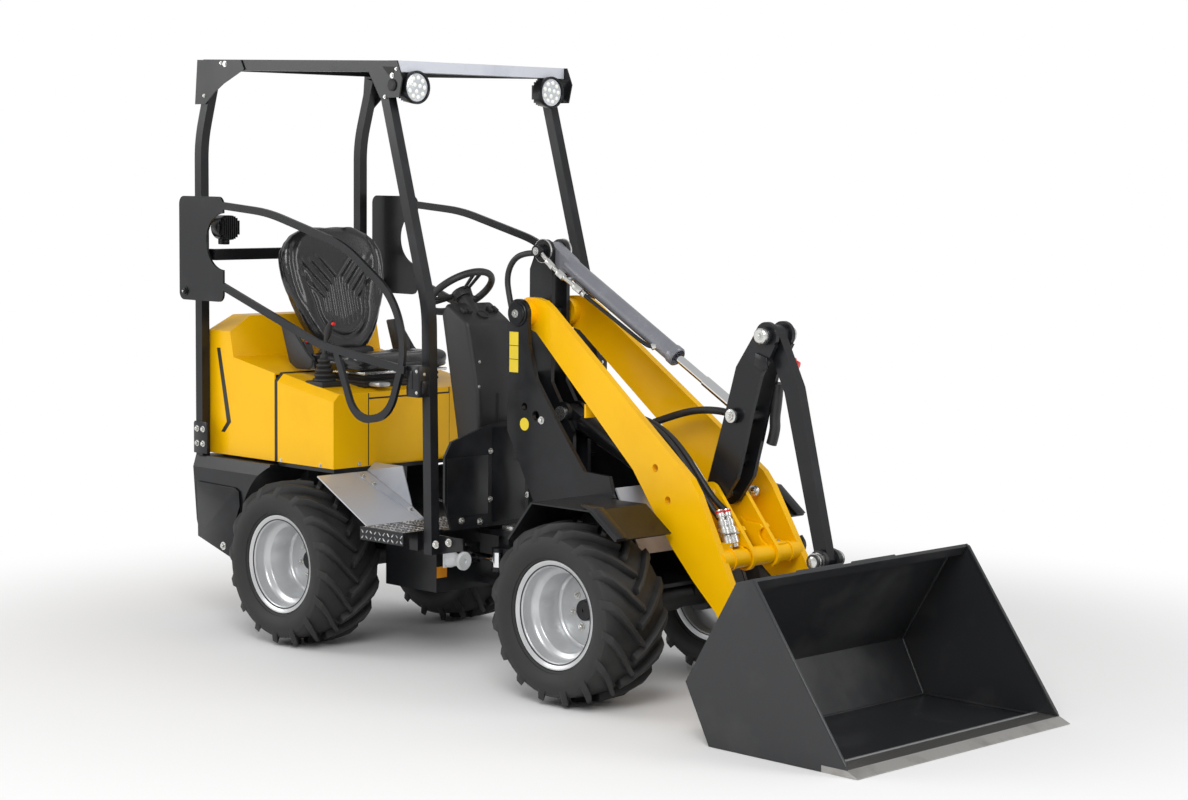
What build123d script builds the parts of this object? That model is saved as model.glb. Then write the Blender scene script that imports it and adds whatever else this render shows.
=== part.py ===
from build123d import *
import math
import os

os.makedirs("parts", exist_ok=True)

# Mini loader, articulated in the middle. Millimetres, x forward, y left, z up.
# Places along x are measured from the rear axle; saving moves them to the middle of the length.
# Places seen from the side are (x, z) pairs.

# Overall layout
WHEELBASE = 1359.0
TRACK = 719.0
JOINT_X = WHEELBASE / 2
RUNNING = 0.05
SEAT_GAP = 0.3

# Wheels, 23 x 10.50-12 on 12 inch rims
TYRE_RADIUS = 288.0
TYRE_WIDTH = 267.0
TREAD_WIDTH = 226.0
CARCASS_RADIUS = 262.0
CARCASS_SIDES = 32
SIDEWALL_RADIUS = 222.0
SHOULDER_RADIUS = 227.0
LUGS = 16
LUG_LENGTH = 158.0
LUG_WIDTH = 22.0
LUG_TURN = 40.0
LUG_MIDDLE_Y = 58.0
LUG_FOOT_RADIUS = 240.0
RIM_WIDTH = 217.0
RIM_FLANGE_RADIUS = 171.0
BEAD_RADIUS = 152.0
RIM_WELL_RADIUS = 130.0
RIM_WALL = 5.0
DISC_OFFSET = -37.0
DISC_THICKNESS = 8.0
HUB_RADIUS = 56.0
HUB_LENGTH = 68.0
HUB_CAP_LENGTH = 16.0
HUB_CAP_RADIUS = 33.0
SPINDLE_RADIUS = 30.0
AXLE_RADIUS = 42.0
CARRIER_RADIUS = 62.0
CARRIER_LENGTH = 95.0
GEARBOX_RADIUS = 46.5
GEARBOX_LENGTH = 150.0

# Rear chassis
FRAME_PLATE_Y = 180.0
FRAME_PLATE = 12.0
FRAME_TOP = 455.0
FRAME_REAR_X = -440.0
FRAME_FRONT_X = 572.0
TANK_REAR_X = 312.0
TANK_HALF_WIDTH = 250.0
TANK_BOTTOM = 235.0
YOKE_EAR = 20.0
YOKE_LOW_Z = 250.0
YOKE_HIGH_Z = 420.0
YOKE_RADIUS = 55.0
JOINT_PIN_RADIUS = 25.0
JOINT_PIN_HEAD = 12.0
STEER_Z = 355.0
STEER_WINDOW = (-165.0, -52.0, 35.0)

# Counterweight and the coupling jaw at the rear
WEIGHT_REAR_X = -600.0
WEIGHT_HALF_WIDTH = 392.0
WEIGHT_TOP = 613.0
WEIGHT_SHOULDER = 42.0
WEIGHT_REAR_BOTTOM = 315.0
WEIGHT_FRONT_BOTTOM = 250.0
WEIGHT_LEAN = 24.0
ARCH_RADIUS = 358.0
ARCH_FRONT_X = -165.0
JAW_LENGTH = 58.0
JAW_HALF_WIDTH = 45.0
JAW_EAR = 18.0
JAW_LOW_Z = 372.0
JAW_HIGH_Z = 432.0
JAW_PIN_RADIUS = 12.5
JAW_PIN_FROM_EDGE = 26.0

# Engine under the hood
ENGINE_REAR_X = -432.0
ENGINE_FRONT_X = -205.0
ENGINE_HALF_WIDTH = 175.0
ENGINE_TOP = 900.0

# Hood: a shell with a raised hump behind the seat, hinged at its lower rear edge
BODY_HALF_WIDTH = 345.0
BODY_BOTTOM = 622.0
HOOD_WALL = 6.0
HOOD_REAR_X = -603.0
HOOD_REAR_TOP_X = -552.0
HOOD_SEAM_X = -172.0
SEAL = 10.0
DECK_REAR = (-415.0, 977.0)
DECK_SEAM_Z = 934.0
DECK_FRONT_Z = 880.0
DECK_CHAMFER = 26.0
HUMP_TOP = 1122.0
HUMP_SIDE_TOP = 1068.0
HUMP_TOP_HALF_WIDTH = 245.0
HUMP_FRONT_TOP_X = -450.0
HUMP_FRONT_X = -412.0
HINGE_BACK = 9.0
HINGE_RADIUS = 7.0
HINGE_PIN_RADIUS = 4.0
HINGE_LENGTH = 60.0
HINGE_Y = 200.0

# Side box in front of the seam, carrying the seat
BOX_FRONT_X = 145.0

# Floor, steps and shields
FLOOR_Z = 455.0
FLOOR_PLATE = 6.0
FLOOR_FRONT_X = 658.0
STEP_HALF_WIDTH = 440.0
STEP_REAR_X = 400.0
STEP_FRONT_X = 640.0
STEP_LIP = 38.0
SHIELD_PLATE = 10.0
SHIELD_HALF_WIDTH = 290.0
SHIELD_TOP = 804.0
HEEL_PLATE = 4.0
HEEL_INNER_Y = 165.0

# Console and steering wheel
CONSOLE_HALF_WIDTH = 108.0
CONSOLE_PROFILE = ((425, 1165), (452, 1205), (560, 1140), (604, 905), (604, 640), (500, 640), (470, 880))
WHEEL_CENTRE = (412.0, 1236.0)
COLUMN_TILT = 38.0
STEERING_RADIUS = 130.0
STEERING_RIM_RADIUS = 12.0
STEERING_HUB_RADIUS = 34.0
STEERING_HUB_LENGTH = 28.0
COLUMN_RADIUS = 16.0
COLUMN_LENGTH = 66.0
SPOKE_WIDTH = 24.0

# Seat and joystick
SEAT_BASE_TOP = 950.0
SEAT_BASE_X = (-130.0, 90.0)
SEAT_BASE_WIDTH = 320.0
CUSHION_X = (-170.0, 130.0)
CUSHION_TOP = 1015.0
CUSHION_WIDTH = 470.0
CUSHION_CORNER = 50.0
BACK_FOOT = (-185.0, 1032.0)
BACK_THICKNESS = 85.0
BACK_WIDTH = 490.0
BACK_OUTLINE = ((155, 0), (200, 110), (240, 250), (245, 335), (225, 400), (140, 440))
BACK_LEAN = 12.0
BRACKET_PLATE = 6.0
BRACKET_HEIGHT = 150.0
STICK_PLACE = (5.0, -272.0)
STICK_TOP = 1135.0
STICK_FOOT = 96.0

# Canopy: four posts of rectangular tube, a roof frame with a flat panel
POST_Y = 371.0
POST_WIDTH = 34.0
POST_DEPTH = 38.0
REAR_POST_X = -567.0
REAR_POST_LINE = ((-567.0, 1750.0), (-492.0, 1988.0))
FRONT_POST_LINE = ((434.0, 1988.0), (668.0, 1200.0), (684.0, 392.0))
POST_BEND = 420.0
ROOF_REAR = (-530.0, 2039.0)
ROOF_FRONT = (519.0, 2011.0)
ROOF_DEPTH = 38.0
ROOF_PANEL = 8.0
ROOF_RAIL = 42.0
CROSSBAR_Z = 1342.0
CROSSBAR_SIZE = (40.0, 40.0)
FOOT_REACH = 818.0
FOOT_BEAM = 42.0
FOOT_PLATE = 8.0
FOOT_Z = (395.0, 455.0)
GUSSET_PLATE = 5.0
FRONT_GUSSET = ((306, 2015), (382, 1985), (445, 1890), (540, 1890), (556, 1953), (530, 2011))
REAR_GUSSET = ((-575, 1880), (-515, 1880), (-455, 1925), (-410, 1950), (-288, 2000), (-306, 2032), (-560, 2038))
FRONT_PAD = (330.0, 500.0, 1985.0, 2008.0)
REAR_PAD = (-500.0, -310.0, 2005.0, 2028.0)
LAMP_RADIUS = 46.0
LAMP_DEPTH = 42.0
LAMP_FRONT_X = 533.0
LAMP_Y = 308.0
LAMP_Z = 1925.0
REAR_LAMP = (-470.0, -345.0, 1441.0)
REAR_LAMP_RADIUS = 38.0

# Side guards, hinged on the rear posts
GUARD_Y = 456.0
GUARD_PLATE = 8.0
GUARD_PLATE_BOX = (-588.0, 1182.0, -330.0, 1553.0)
GUARD_NOTCH_X = -328.0
GUARD_NOTCH_Z = 1395.0
GUARD_NOTCH_RADIUS = 100.0
GUARD_CORNER = 28.0
GUARD_PIN = (-553.0, 1213.0)
GUARD_PIN_RADIUS = 8.0
GUARD_BAR = (26.0, 12.0)
GUARD_LOOP = ((-345, 1522), (-80, 1502), (330, 1400), (590, 1235), (640, 1060), (560, 845), (390, 815), (290, 1040))
GUARD_LOOP_BENDS = (900, 500, 260, 230, 120, 100)
GUARD_LOWER = ((-345, 1240), (200, 1062), (640, 1002))
GUARD_LOWER_BEND = 300.0

# Front chassis with the lift tower
TOWER_Y = 160.0
TOWER_PLATE = 15.0
TOWER_HEAD_RADIUS = 48.0
TOWER_OUTLINE = (
    (820, 1150), (820, 800), (943, 581), (955, 335), (1440, 335), (1440, 400),
    (1309, 633), (1291, 689), (1178, 695), (1048, 853), (954, 977), (919, 1089),
)
COLUMN_GAP = 54.0
COLUMN_PLATE = 15.0
COLUMN_FOOT_Z = 470.0
COLUMN_OUTLINE = (
    (800, 1330), (800, COLUMN_FOOT_Z), (1010, COLUMN_FOOT_Z), (1010, 800), (905, 960), (905, 1330),
)
COLUMN_HEAD_RADIUS = 38.0
FRONT_WEB_HALF = 40.0
FRONT_WALL_X = 955.0
FRONT_PLATE = 12.0
FRONT_FLOOR_Z = 335.0
NOSE_PANEL = ((1304.0, 650.0), (1418.0, 450.0))
NOSE_PLATE = 6.0
FENDER_PLATE = 5.0
FENDER_Y = 440.0
FENDER_NOTCH_X = 1330.0
FENDER_NOTCH_Y = 196.0
FENDER_LINE = ((1120, 500), (1225, 625), (1490, 625), (1600, 545))

# Lift and tilt linkage, pins seen from the side
BOOM_PIN = (868.0, 1188.0)
TILT_PIN = (867.0, 1391.0)
LIFT_BASE = (955.0, 858.0)
LIFT_ROD_PIN = (1561.0, 598.0)
CRANK_PIN = (1636.0, 656.0)
TILT_ROD_PIN = (1720.0, 909.0)
LINK_TOP = (1841.0, 1162.0)
LINK_FOOT = (2054.0, 492.0)
HITCH_PIN = (1900.0, 230.0)
PIN_RADIUS = 16.0
PIN_HEAD = 10.0
EYE_RADIUS = 32.0

# Hoses, one behind the tower and one inside the right arm
HOSE_RADIUS = 10.0
HOSE_RUN_SHARE = 0.45
TOWER_HOSE_Y = 70.0
SHELF_X = 776.0
SHELF_Z = 812.0
SWIVEL_RADIUS = 20.0
TOWER_HOSE = ((802, 812.5), (802, 930), (788, 1040), (758, 1150), (732, 1232), (718, 1298), (742, 1352), (792, 1381), (846.5, 1384))
BOOM_HOSE_Y = 127.0
BOOM_HOSE = (
    (1151.5, -72, 885), (1230, -80, 884), (1340, -90, 876), (1450, -103, 848), (1545, -117, 790),
    (1625, -126, 712), (1690, -127, 640), (1738, -127, 597),
)

# Boom: two arms that spread apart downwards
ARM_TOP_Y = 110.0
ARM_SPREAD = 0.09
ARM_PLATE = 25.0
ARM_HEAD_RADIUS = 52.0
ARM_FOOT_RADIUS = 50.0
ARM_BOSS_RADIUS = 44.0
ARM_UPPER = ((905, 1239), (946, 1231), (980, 1211), (1244, 1020), (1664, 717), (1700, 672), (1842, 425))
ARM_LOWER = ((1784, 318), (1679, 404), (1581, 496), (1394, 721), (907, 1126))
LUG_Y = 50.0
LUG_PLATE = 15.0
LUG_RADIUS = 40.0
ARM_HOLES = ((1500, 735, 13), (1560, 640, 13))
CLAMP = (1150.0, 885.0)
COUPLER = ((1745.0, 592.0), (1772.0, 520.0))
CROSS_TUBE = (1784.0, 476.0)
CROSS_TUBE_RADIUS = 30.0

# Crank of two plates, link bar
CRANK_INNER_Y = 30.0
CRANK_PLATE = 15.0
CRANK_LEFT = ((1795, 1165), (1722, 1060), (1701, 988), (1665, 867), (1606, 680))
CRANK_RIGHT = ((1672, 630), (1733, 715), (1762, 821), (1787, 920), (1822, 1036), (1880, 1135))
CRANK_HEAD_RADIUS = 42.0
CRANK_FOOT_RADIUS = 38.0
CRANK_SPACER = (1694.0, 770.0)
LINK_HALF_WIDTH = 18.0
LINK_DEPTH = 56.0
LINK_FOOT_RADIUS = 24.0
LINK_BEND = (1922.0, 1000.0)

# Cylinders: radii, and distances along each axis from its base pin
TILT_BARREL_RADIUS = 29.0
TILT_BARREL_START = 90.0
TILT_BARREL_END = 642.0
TILT_ROD_RADIUS = 14.0
TILT_SLEEVE_RADIUS = 17.0
TILT_SLEEVE_LENGTH = 190.0
LIFT_BARREL_RADIUS = 34.0
LIFT_BARREL_START = 72.0
LIFT_BARREL_END = 560.0
LIFT_ROD_RADIUS = 19.0
CYLINDER_EYE = 50.0
CYLINDER_BORE_GAP = 0.3
BARREL_FLOOR = 8.0
TILT_ROD_START = 366.0
TILT_PISTON = (370.0, 390.0)
LIFT_ROD_START = 86.0
STEER_ROD_START = 130.0
STEER_BASE = (345.0, -95.0)
STEER_EYE = (739.5, -120.0)
STEER_BARREL_RADIUS = 24.0
STEER_BARREL_START = 34.0
STEER_BARREL_END = 250.0
STEER_ROD_RADIUS = 12.0
STEER_PIN_RADIUS = 10.0
STEER_EAR = 14.0
STEER_LUG_GAP = 50.0

# Bucket and hitch
BUCKET_HALF_WIDTH = 511.0
BUCKET_PLATE = 8.0
BUCKET_OUTLINE = ((2147, 493), (2203, 509), (2560, 21), (2500, 1), (2049, 1), (1955, 178))
BUCKET_BEAM = 46.0
EDGE_REAR_X = 2470.0
EDGE_TIP_X = 2599.0
EDGE_THICKNESS = 19.0
HITCH_PLATE = 12.0
HITCH_PLATE_GAP = 0.3
HITCH_WINDOW = (140.0, 380.0, 24.0)
HITCH_HALF_WIDTH = 232.0
HITCH_LUG = 12.0
HITCH_EAR_RADIUS = 44.0
LINK_LUG_Y = 24.0


middle_x = (EDGE_TIP_X + WEIGHT_REAR_X - JAW_LENGTH) / 2


def block(x0, x1, y0, y1, z0, z1):
    """A rectangular block between two corners."""
    return Pos((x0 + x1) / 2, (y0 + y1) / 2, (z0 + z1) / 2) * Box(x1 - x0, y1 - y0, z1 - z0)


def side_plate(outline, y0, y1):
    """A plate whose outline is seen from the side, between two places across the machine."""
    face = make_face(Polyline(*outline, close=True))
    return Pos(0, y1, 0) * extrude(Plane.XZ * face, amount=y1 - y0)


def cross_pin(place, radius, y0, y1):
    """A round bar across the machine at a side-view place."""
    return Pos(place[0], (y0 + y1) / 2, place[1]) * Rot(90, 0, 0) * Cylinder(radius, y1 - y0)


def upright(place, radius, z0, z1):
    """A vertical round bar at a plan-view place."""
    return Pos(place[0], place[1], (z0 + z1) / 2) * Cylinder(radius, z1 - z0)


def both_sides(piece):
    """The piece with its mirror image on the other side of the machine."""
    return piece + mirror(piece, about=Plane.XZ)


def away(start, end):
    """Distance and direction from one side-view place to another."""
    length = math.dist(start, end)
    return length, ((end[0] - start[0]) / length, (end[1] - start[1]) / length)


def along(start, end, distance, sideways=0.0):
    """The place at a distance along a side-view line, moved square to it."""
    _, (ux, uz) = away(start, end)
    return start[0] + ux * distance - uz * sideways, start[1] + uz * distance + ux * sideways


def strap(start, end, radius0, radius1, y0, y1):
    """A flat bar with a round end at each of two places."""
    length, _ = away(start, end)
    sides = [
        along(start, end, 0, radius0), along(start, end, length, radius1),
        along(start, end, length, -radius1), along(start, end, 0, -radius0),
    ]
    ends = cross_pin(start, radius0, y0, y1) + cross_pin(end, radius1, y0, y1)
    return side_plate(sides, y0, y1) + ends


def rod(start, end, radius, d0, d1, y=0.0):
    """A round bar along a side-view line between two distances."""
    a = along(start, end, d0)
    b = along(start, end, d1)
    centre = Vector((a[0] + b[0]) / 2, y, (a[1] + b[1]) / 2)
    line = Vector(b[0] - a[0], 0, b[1] - a[1])
    return Plane(origin=centre, z_dir=line) * Cylinder(radius, d1 - d0)


def flat_rod(start, end, radius, d0, d1, z):
    """A round bar along a plan-view line between two distances."""
    a = along(start, end, d0)
    b = along(start, end, d1)
    centre = Vector((a[0] + b[0]) / 2, (a[1] + b[1]) / 2, z)
    line = Vector(b[0] - a[0], b[1] - a[1], 0)
    return Plane(origin=centre, z_dir=line) * Cylinder(radius, d1 - d0)


def bent_bar(line, bends, width, depth, y):
    """A rectangular bar along a side-view line with rounded bends."""
    points = [(x, y, z) for x, z in line]
    path = FilletPolyline(*points, radius=bends) if bends else Polyline(*points)
    first, second = Vector(*points[0]), Vector(*points[1])
    section = Plane(origin=first, x_dir=(0, 1, 0), z_dir=second - first) * Rectangle(width, depth)
    return sweep(section, path=path)


def save(name, piece):
    """Writes one piece with the origin in the middle of the length."""
    solids = piece.solids()
    placed = [Pos(-middle_x, 0, 0) * solid for solid in solids]
    shape = placed[0] if len(placed) == 1 else Compound(children=placed)
    shape.label = name
    export_step(shape, f"parts/{name}.step")


def about_axle(profile, x, y, side):
    """A solid of revolution about an axle; profile columns are outward distance and radius."""
    face = make_face(Polyline(*profile, close=True))
    ring = revolve(Plane.XY * face, axis=Axis.X)
    return Pos(x, y * side, TYRE_RADIUS) * Rot(0, 0, 90 * side) * ring


def ring_plane(y):
    """A plane square to the axle at a distance across from the middle of a wheel."""
    return Plane(origin=(0, y, 0), x_dir=(1, 0, 0), z_dir=(0, 1, 0))


def tyre(x, side):
    """Rubber tyre: a many-sided carcass with chevron lugs, bored round for its rim."""
    half = TYRE_WIDTH / 2
    tread = TREAD_WIDTH / 2
    foot = RIM_WIDTH / 2 - RIM_WALL - SEAT_GAP
    carcass = extrude(ring_plane(-tread) * RegularPolygon(CARCASS_RADIUS, CARCASS_SIDES), amount=TREAD_WIDTH)
    wall = loft([
        (ring_plane(tread - 1) * RegularPolygon(CARCASS_RADIUS, CARCASS_SIDES)).face(),
        (ring_plane(half) * RegularPolygon(SHOULDER_RADIUS, CARCASS_SIDES)).face(),
    ])
    carcass += both_sides(wall)
    turn = math.radians(LUG_TURN)
    spread = (LUG_LENGTH * math.sin(turn) + LUG_WIDTH * math.cos(turn)) / 2
    top = math.sqrt(TYRE_RADIUS**2 - spread**2)
    first = math.degrees(math.asin(spread / TYRE_RADIUS))
    bar = Pos(0, 0, (top + LUG_FOOT_RADIUS) / 2) * Box(LUG_WIDTH, LUG_LENGTH, top - LUG_FOOT_RADIUS)
    lugs = None
    for sign in (1, -1):
        lug = Pos(0, sign * LUG_MIDDLE_Y, 0) * Rot(0, 0, sign * LUG_TURN) * bar
        for count in range(LUGS):
            turned = Rot(0, 180 - first + (count + (0.5 if sign < 0 else 0)) * 360 / LUGS, 0) * lug
            lugs = turned if lugs is None else lugs + turned
    dish = half - foot + 1
    cone = Cone(RIM_FLANGE_RADIUS + SEAT_GAP, SIDEWALL_RADIUS, dish)
    whole = carcass + lugs
    whole -= ring_plane(foot + dish / 2) * cone
    whole -= ring_plane(-foot - dish / 2) * Rot(180, 0, 0) * cone
    whole -= ring_plane(0) * Cylinder(BEAD_RADIUS + SEAT_GAP, TYRE_WIDTH + 2)
    return Pos(x, TRACK / 2 * side, TYRE_RADIUS) * whole


def rim(x, side):
    """Deep-dished steel rim with its hub, bored to run on the spindle."""
    half = RIM_WIDTH / 2
    lip = half - RIM_WALL
    seat_inner = BEAD_RADIUS - RIM_WALL
    well_inner = RIM_WELL_RADIUS - RIM_WALL
    back = DISC_OFFSET - DISC_THICKNESS
    profile = [
        (half, RIM_FLANGE_RADIUS), (lip, RIM_FLANGE_RADIUS), (lip, BEAD_RADIUS), (60, BEAD_RADIUS),
        (48, RIM_WELL_RADIUS), (-48, RIM_WELL_RADIUS), (-60, BEAD_RADIUS), (-lip, BEAD_RADIUS),
        (-lip, RIM_FLANGE_RADIUS), (-half, RIM_FLANGE_RADIUS), (-half, seat_inner), (-62, seat_inner),
        (-50, well_inner), (back, well_inner), (back, HUB_RADIUS - 2), (DISC_OFFSET, HUB_RADIUS - 2),
        (DISC_OFFSET, well_inner), (50, well_inner), (62, seat_inner), (half, seat_inner),
    ]
    hub = [
        (-HUB_LENGTH, SPINDLE_RADIUS + RUNNING), (-HUB_LENGTH, HUB_RADIUS), (DISC_OFFSET, HUB_RADIUS),
        (DISC_OFFSET, HUB_CAP_RADIUS), (DISC_OFFSET + HUB_CAP_LENGTH, HUB_CAP_RADIUS), (DISC_OFFSET + HUB_CAP_LENGTH, 0),
        (DISC_OFFSET + 6, 0), (DISC_OFFSET + 6, SPINDLE_RADIUS + RUNNING),
    ]
    return about_axle(profile, x, TRACK / 2, side) + about_axle(hub, x, TRACK / 2, side)


def axle(x):
    """Axle beam with a gearbox in the middle, a carrier and a spindle at each end."""
    centre = (x, TYRE_RADIUS)
    hub_face = TRACK / 2 - HUB_LENGTH - 2
    spindle_end = TRACK / 2 + DISC_OFFSET + 4
    beam = cross_pin(centre, AXLE_RADIUS, -hub_face, hub_face)
    gearbox = cross_pin(centre, GEARBOX_RADIUS, -GEARBOX_LENGTH / 2, GEARBOX_LENGTH / 2)
    ends = cross_pin(centre, CARRIER_RADIUS, hub_face - CARRIER_LENGTH, hub_face)
    ends += cross_pin(centre, SPINDLE_RADIUS, hub_face, spindle_end)
    pads = block(x - 45, x + 45, 130, 178, TYRE_RADIUS, FRONT_FLOOR_Z)
    return beam + gearbox + both_sides(ends + pads)


for axle_name, axle_x in (("rear", 0.0), ("front", WHEELBASE)):
    save(f"{axle_name}_axle", axle(axle_x))
    for side_name, side in (("left", 1), ("right", -1)):
        save(f"tyre_{axle_name}_{side_name}", tyre(axle_x, side))
        save(f"rim_{axle_name}_{side_name}", rim(axle_x, side))


# Rear chassis
joint_place = (JOINT_X, 0.0)
steer_low = STEER_Z - STEER_LUG_GAP / 2
steer_high = STEER_Z + STEER_LUG_GAP / 2
steer_ears = ((steer_low - STEER_EAR, steer_low), (steer_high, steer_high + STEER_EAR))


def rear_frame():
    """Side plates on the axle, a tank between the wheels and the rear half of the centre joint."""
    plate_inner = FRAME_PLATE_Y - FRAME_PLATE
    sides = both_sides(block(FRAME_REAR_X, FRAME_FRONT_X, plate_inner, FRAME_PLATE_Y, FRONT_FLOOR_Z, FRAME_TOP))
    tank = block(TANK_REAR_X, FRAME_FRONT_X, plate_inner, TANK_HALF_WIDTH, TANK_BOTTOM, FRAME_TOP)
    belly = block(TANK_REAR_X, FRAME_FRONT_X, -plate_inner, plate_inner, TANK_BOTTOM, TANK_BOTTOM + FRAME_PLATE)
    head = block(FRAME_FRONT_X - FRAME_PLATE, FRAME_FRONT_X, -TANK_HALF_WIDTH, TANK_HALF_WIDTH, TANK_BOTTOM, FRAME_TOP)
    brace = block(FRAME_REAR_X, FRAME_REAR_X + FRAME_PLATE, -plate_inner, plate_inner, FRONT_FLOOR_Z, FRAME_TOP)
    window_y0, window_y1, window_z = STEER_WINDOW
    window_x = FRAME_FRONT_X - 2 * FRAME_PLATE
    window = block(window_x, FRAME_FRONT_X + 1, window_y0, window_y1, STEER_Z - window_z, STEER_Z + window_z)
    ears = None
    for low in (YOKE_LOW_Z, YOKE_HIGH_Z):
        ear = block(FRAME_FRONT_X - 1, JOINT_X, -YOKE_RADIUS, YOKE_RADIUS, low, low + YOKE_EAR)
        ear += upright(joint_place, YOKE_RADIUS, low, low + YOKE_EAR)
        ears = ear if ears is None else ears + ear
    bores = upright(joint_place, JOINT_PIN_RADIUS + RUNNING, 0, FRAME_TOP + 100)
    base_ears = None
    for z0, z1 in steer_ears:
        ear = block(STEER_BASE[0] - 26, STEER_BASE[0] + 26, -plate_inner - 1, STEER_BASE[1] + 26, z0, z1)
        base_ears = ear if base_ears is None else base_ears + ear
    pivot = upright(STEER_BASE, STEER_PIN_RADIUS, steer_low - 1, steer_high + 1)
    frame = sides + both_sides(tank) + belly + head + brace + ears - bores - window
    return frame + base_ears + pivot


def joint_pin():
    """Vertical pin of the centre joint, held by the rear ears."""
    head = upright(joint_place, JOINT_PIN_RADIUS + 12, YOKE_HIGH_Z + YOKE_EAR + SEAT_GAP, YOKE_HIGH_Z + YOKE_EAR + JOINT_PIN_HEAD)
    return head + upright(joint_place, JOINT_PIN_RADIUS, YOKE_LOW_Z - 8, YOKE_HIGH_Z + YOKE_EAR + SEAT_GAP)


def counterweight():
    """Cast weight behind the rear wheels, with a shoulder, a wheel arch and the coupling jaw."""
    outline = [
        (WEIGHT_REAR_X, WEIGHT_TOP), (ARCH_FRONT_X, WEIGHT_TOP), (ARCH_FRONT_X, WEIGHT_FRONT_BOTTOM),
        (-372, WEIGHT_FRONT_BOTTOM), (WEIGHT_REAR_X + 14, WEIGHT_REAR_BOTTOM), (WEIGHT_REAR_X, WEIGHT_REAR_BOTTOM + 60),
    ]
    body = side_plate(outline, -WEIGHT_HALF_WIDTH, WEIGHT_HALF_WIDTH)
    section = [
        (WEIGHT_HALF_WIDTH, WEIGHT_TOP - WEIGHT_SHOULDER), (WEIGHT_HALF_WIDTH - 14, WEIGHT_TOP + 1),
        (WEIGHT_HALF_WIDTH + 20, WEIGHT_TOP + 1), (WEIGHT_HALF_WIDTH + 20, WEIGHT_FRONT_BOTTOM - 1),
        (WEIGHT_HALF_WIDTH - WEIGHT_LEAN, WEIGHT_FRONT_BOTTOM - 1),
    ]
    trim = Plane(origin=(WEIGHT_REAR_X - 10, 0, 0), x_dir=(0, 1, 0), z_dir=(1, 0, 0)) * make_face(Polyline(*section, close=True))
    body -= both_sides(extrude(trim, amount=700))
    body -= cross_pin((0, TYRE_RADIUS), ARCH_RADIUS, -WEIGHT_HALF_WIDTH - 1, WEIGHT_HALF_WIDTH + 1)
    inner = FRAME_PLATE_Y + 1
    body -= block(FRAME_REAR_X, ARCH_FRONT_X + 1, -inner, inner, WEIGHT_FRONT_BOTTOM - 1, WEIGHT_TOP + 1)
    jaw = None
    for low in (JAW_LOW_Z, JAW_HIGH_Z):
        ear = block(WEIGHT_REAR_X - JAW_LENGTH, WEIGHT_REAR_X + 5, -JAW_HALF_WIDTH, JAW_HALF_WIDTH, low, low + JAW_EAR)
        jaw = ear if jaw is None else jaw + ear
    bore_x = WEIGHT_REAR_X - JAW_LENGTH + JAW_PIN_FROM_EDGE
    return body + jaw - upright((bore_x, 0), JAW_PIN_RADIUS, JAW_LOW_Z - 5, JAW_HIGH_Z + JAW_EAR + 5)


def engine():
    """Engine and pump, one plain block on the frame."""
    low = FRAME_TOP + SEAT_GAP
    return block(ENGINE_REAR_X, ENGINE_FRONT_X, -ENGINE_HALF_WIDTH, ENGINE_HALF_WIDTH, low, ENGINE_TOP)


def hood_form(shrink):
    """The hood's outer form, or the same form smaller by a wall."""
    half = BODY_HALF_WIDTH - shrink
    deck = [
        (HOOD_REAR_X + shrink, BODY_BOTTOM - (0 if shrink == 0 else 5)), (HOOD_REAR_X + shrink + 8, DECK_REAR[1] - shrink),
        (DECK_REAR[0], DECK_REAR[1] - shrink), (HOOD_SEAM_X - SEAL + (0 if shrink == 0 else 5), DECK_SEAM_Z - shrink),
        (HOOD_SEAM_X - SEAL + (0 if shrink == 0 else 5), BODY_BOTTOM - (0 if shrink == 0 else 5)),
    ]
    low = side_plate(deck, -half, half)
    cap_rear = HOOD_REAR_X + 8 + shrink
    side = [
        (cap_rear, DECK_REAR[1] - shrink - 30), (HOOD_REAR_TOP_X + shrink, HUMP_TOP - shrink),
        (HUMP_FRONT_TOP_X - shrink, HUMP_TOP - shrink), (HUMP_FRONT_X - shrink, DECK_REAR[1] - shrink - 30),
    ]
    hump = side_plate(side, -half, half)
    for sign in (1, -1):
        wedge = [
            (sign * (HUMP_TOP_HALF_WIDTH - shrink / 2), HUMP_TOP - shrink), (sign * (half + 1), HUMP_SIDE_TOP - shrink),
            (sign * (half + 1), HUMP_TOP + 10), (sign * (HUMP_TOP_HALF_WIDTH - shrink / 2), HUMP_TOP + 10),
        ]
        face = Plane(origin=(HOOD_REAR_X - 10, 0, 0), x_dir=(0, 1, 0), z_dir=(1, 0, 0)) * make_face(Polyline(*wedge, close=True))
        hump -= extrude(face, amount=300)
    return low + hump


hinge_place = (HOOD_REAR_X - HINGE_BACK, BODY_BOTTOM + HINGE_RADIUS)


def hood():
    """Engine hood, a moulded shell open below and towards the seam."""
    shell = hood_form(0) - hood_form(HOOD_WALL)
    knuckle = block(hinge_place[0], HOOD_REAR_X + 3, HINGE_Y - HINGE_LENGTH / 2, HINGE_Y + HINGE_LENGTH / 2, BODY_BOTTOM + 1, BODY_BOTTOM + 13)
    knuckle += cross_pin(hinge_place, HINGE_RADIUS, HINGE_Y - HINGE_LENGTH / 2, HINGE_Y + HINGE_LENGTH / 2)
    knuckle -= cross_pin(hinge_place, HINGE_PIN_RADIUS + RUNNING, HINGE_Y - HINGE_LENGTH, HINGE_Y + HINGE_LENGTH)
    return shell + both_sides(knuckle)


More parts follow.
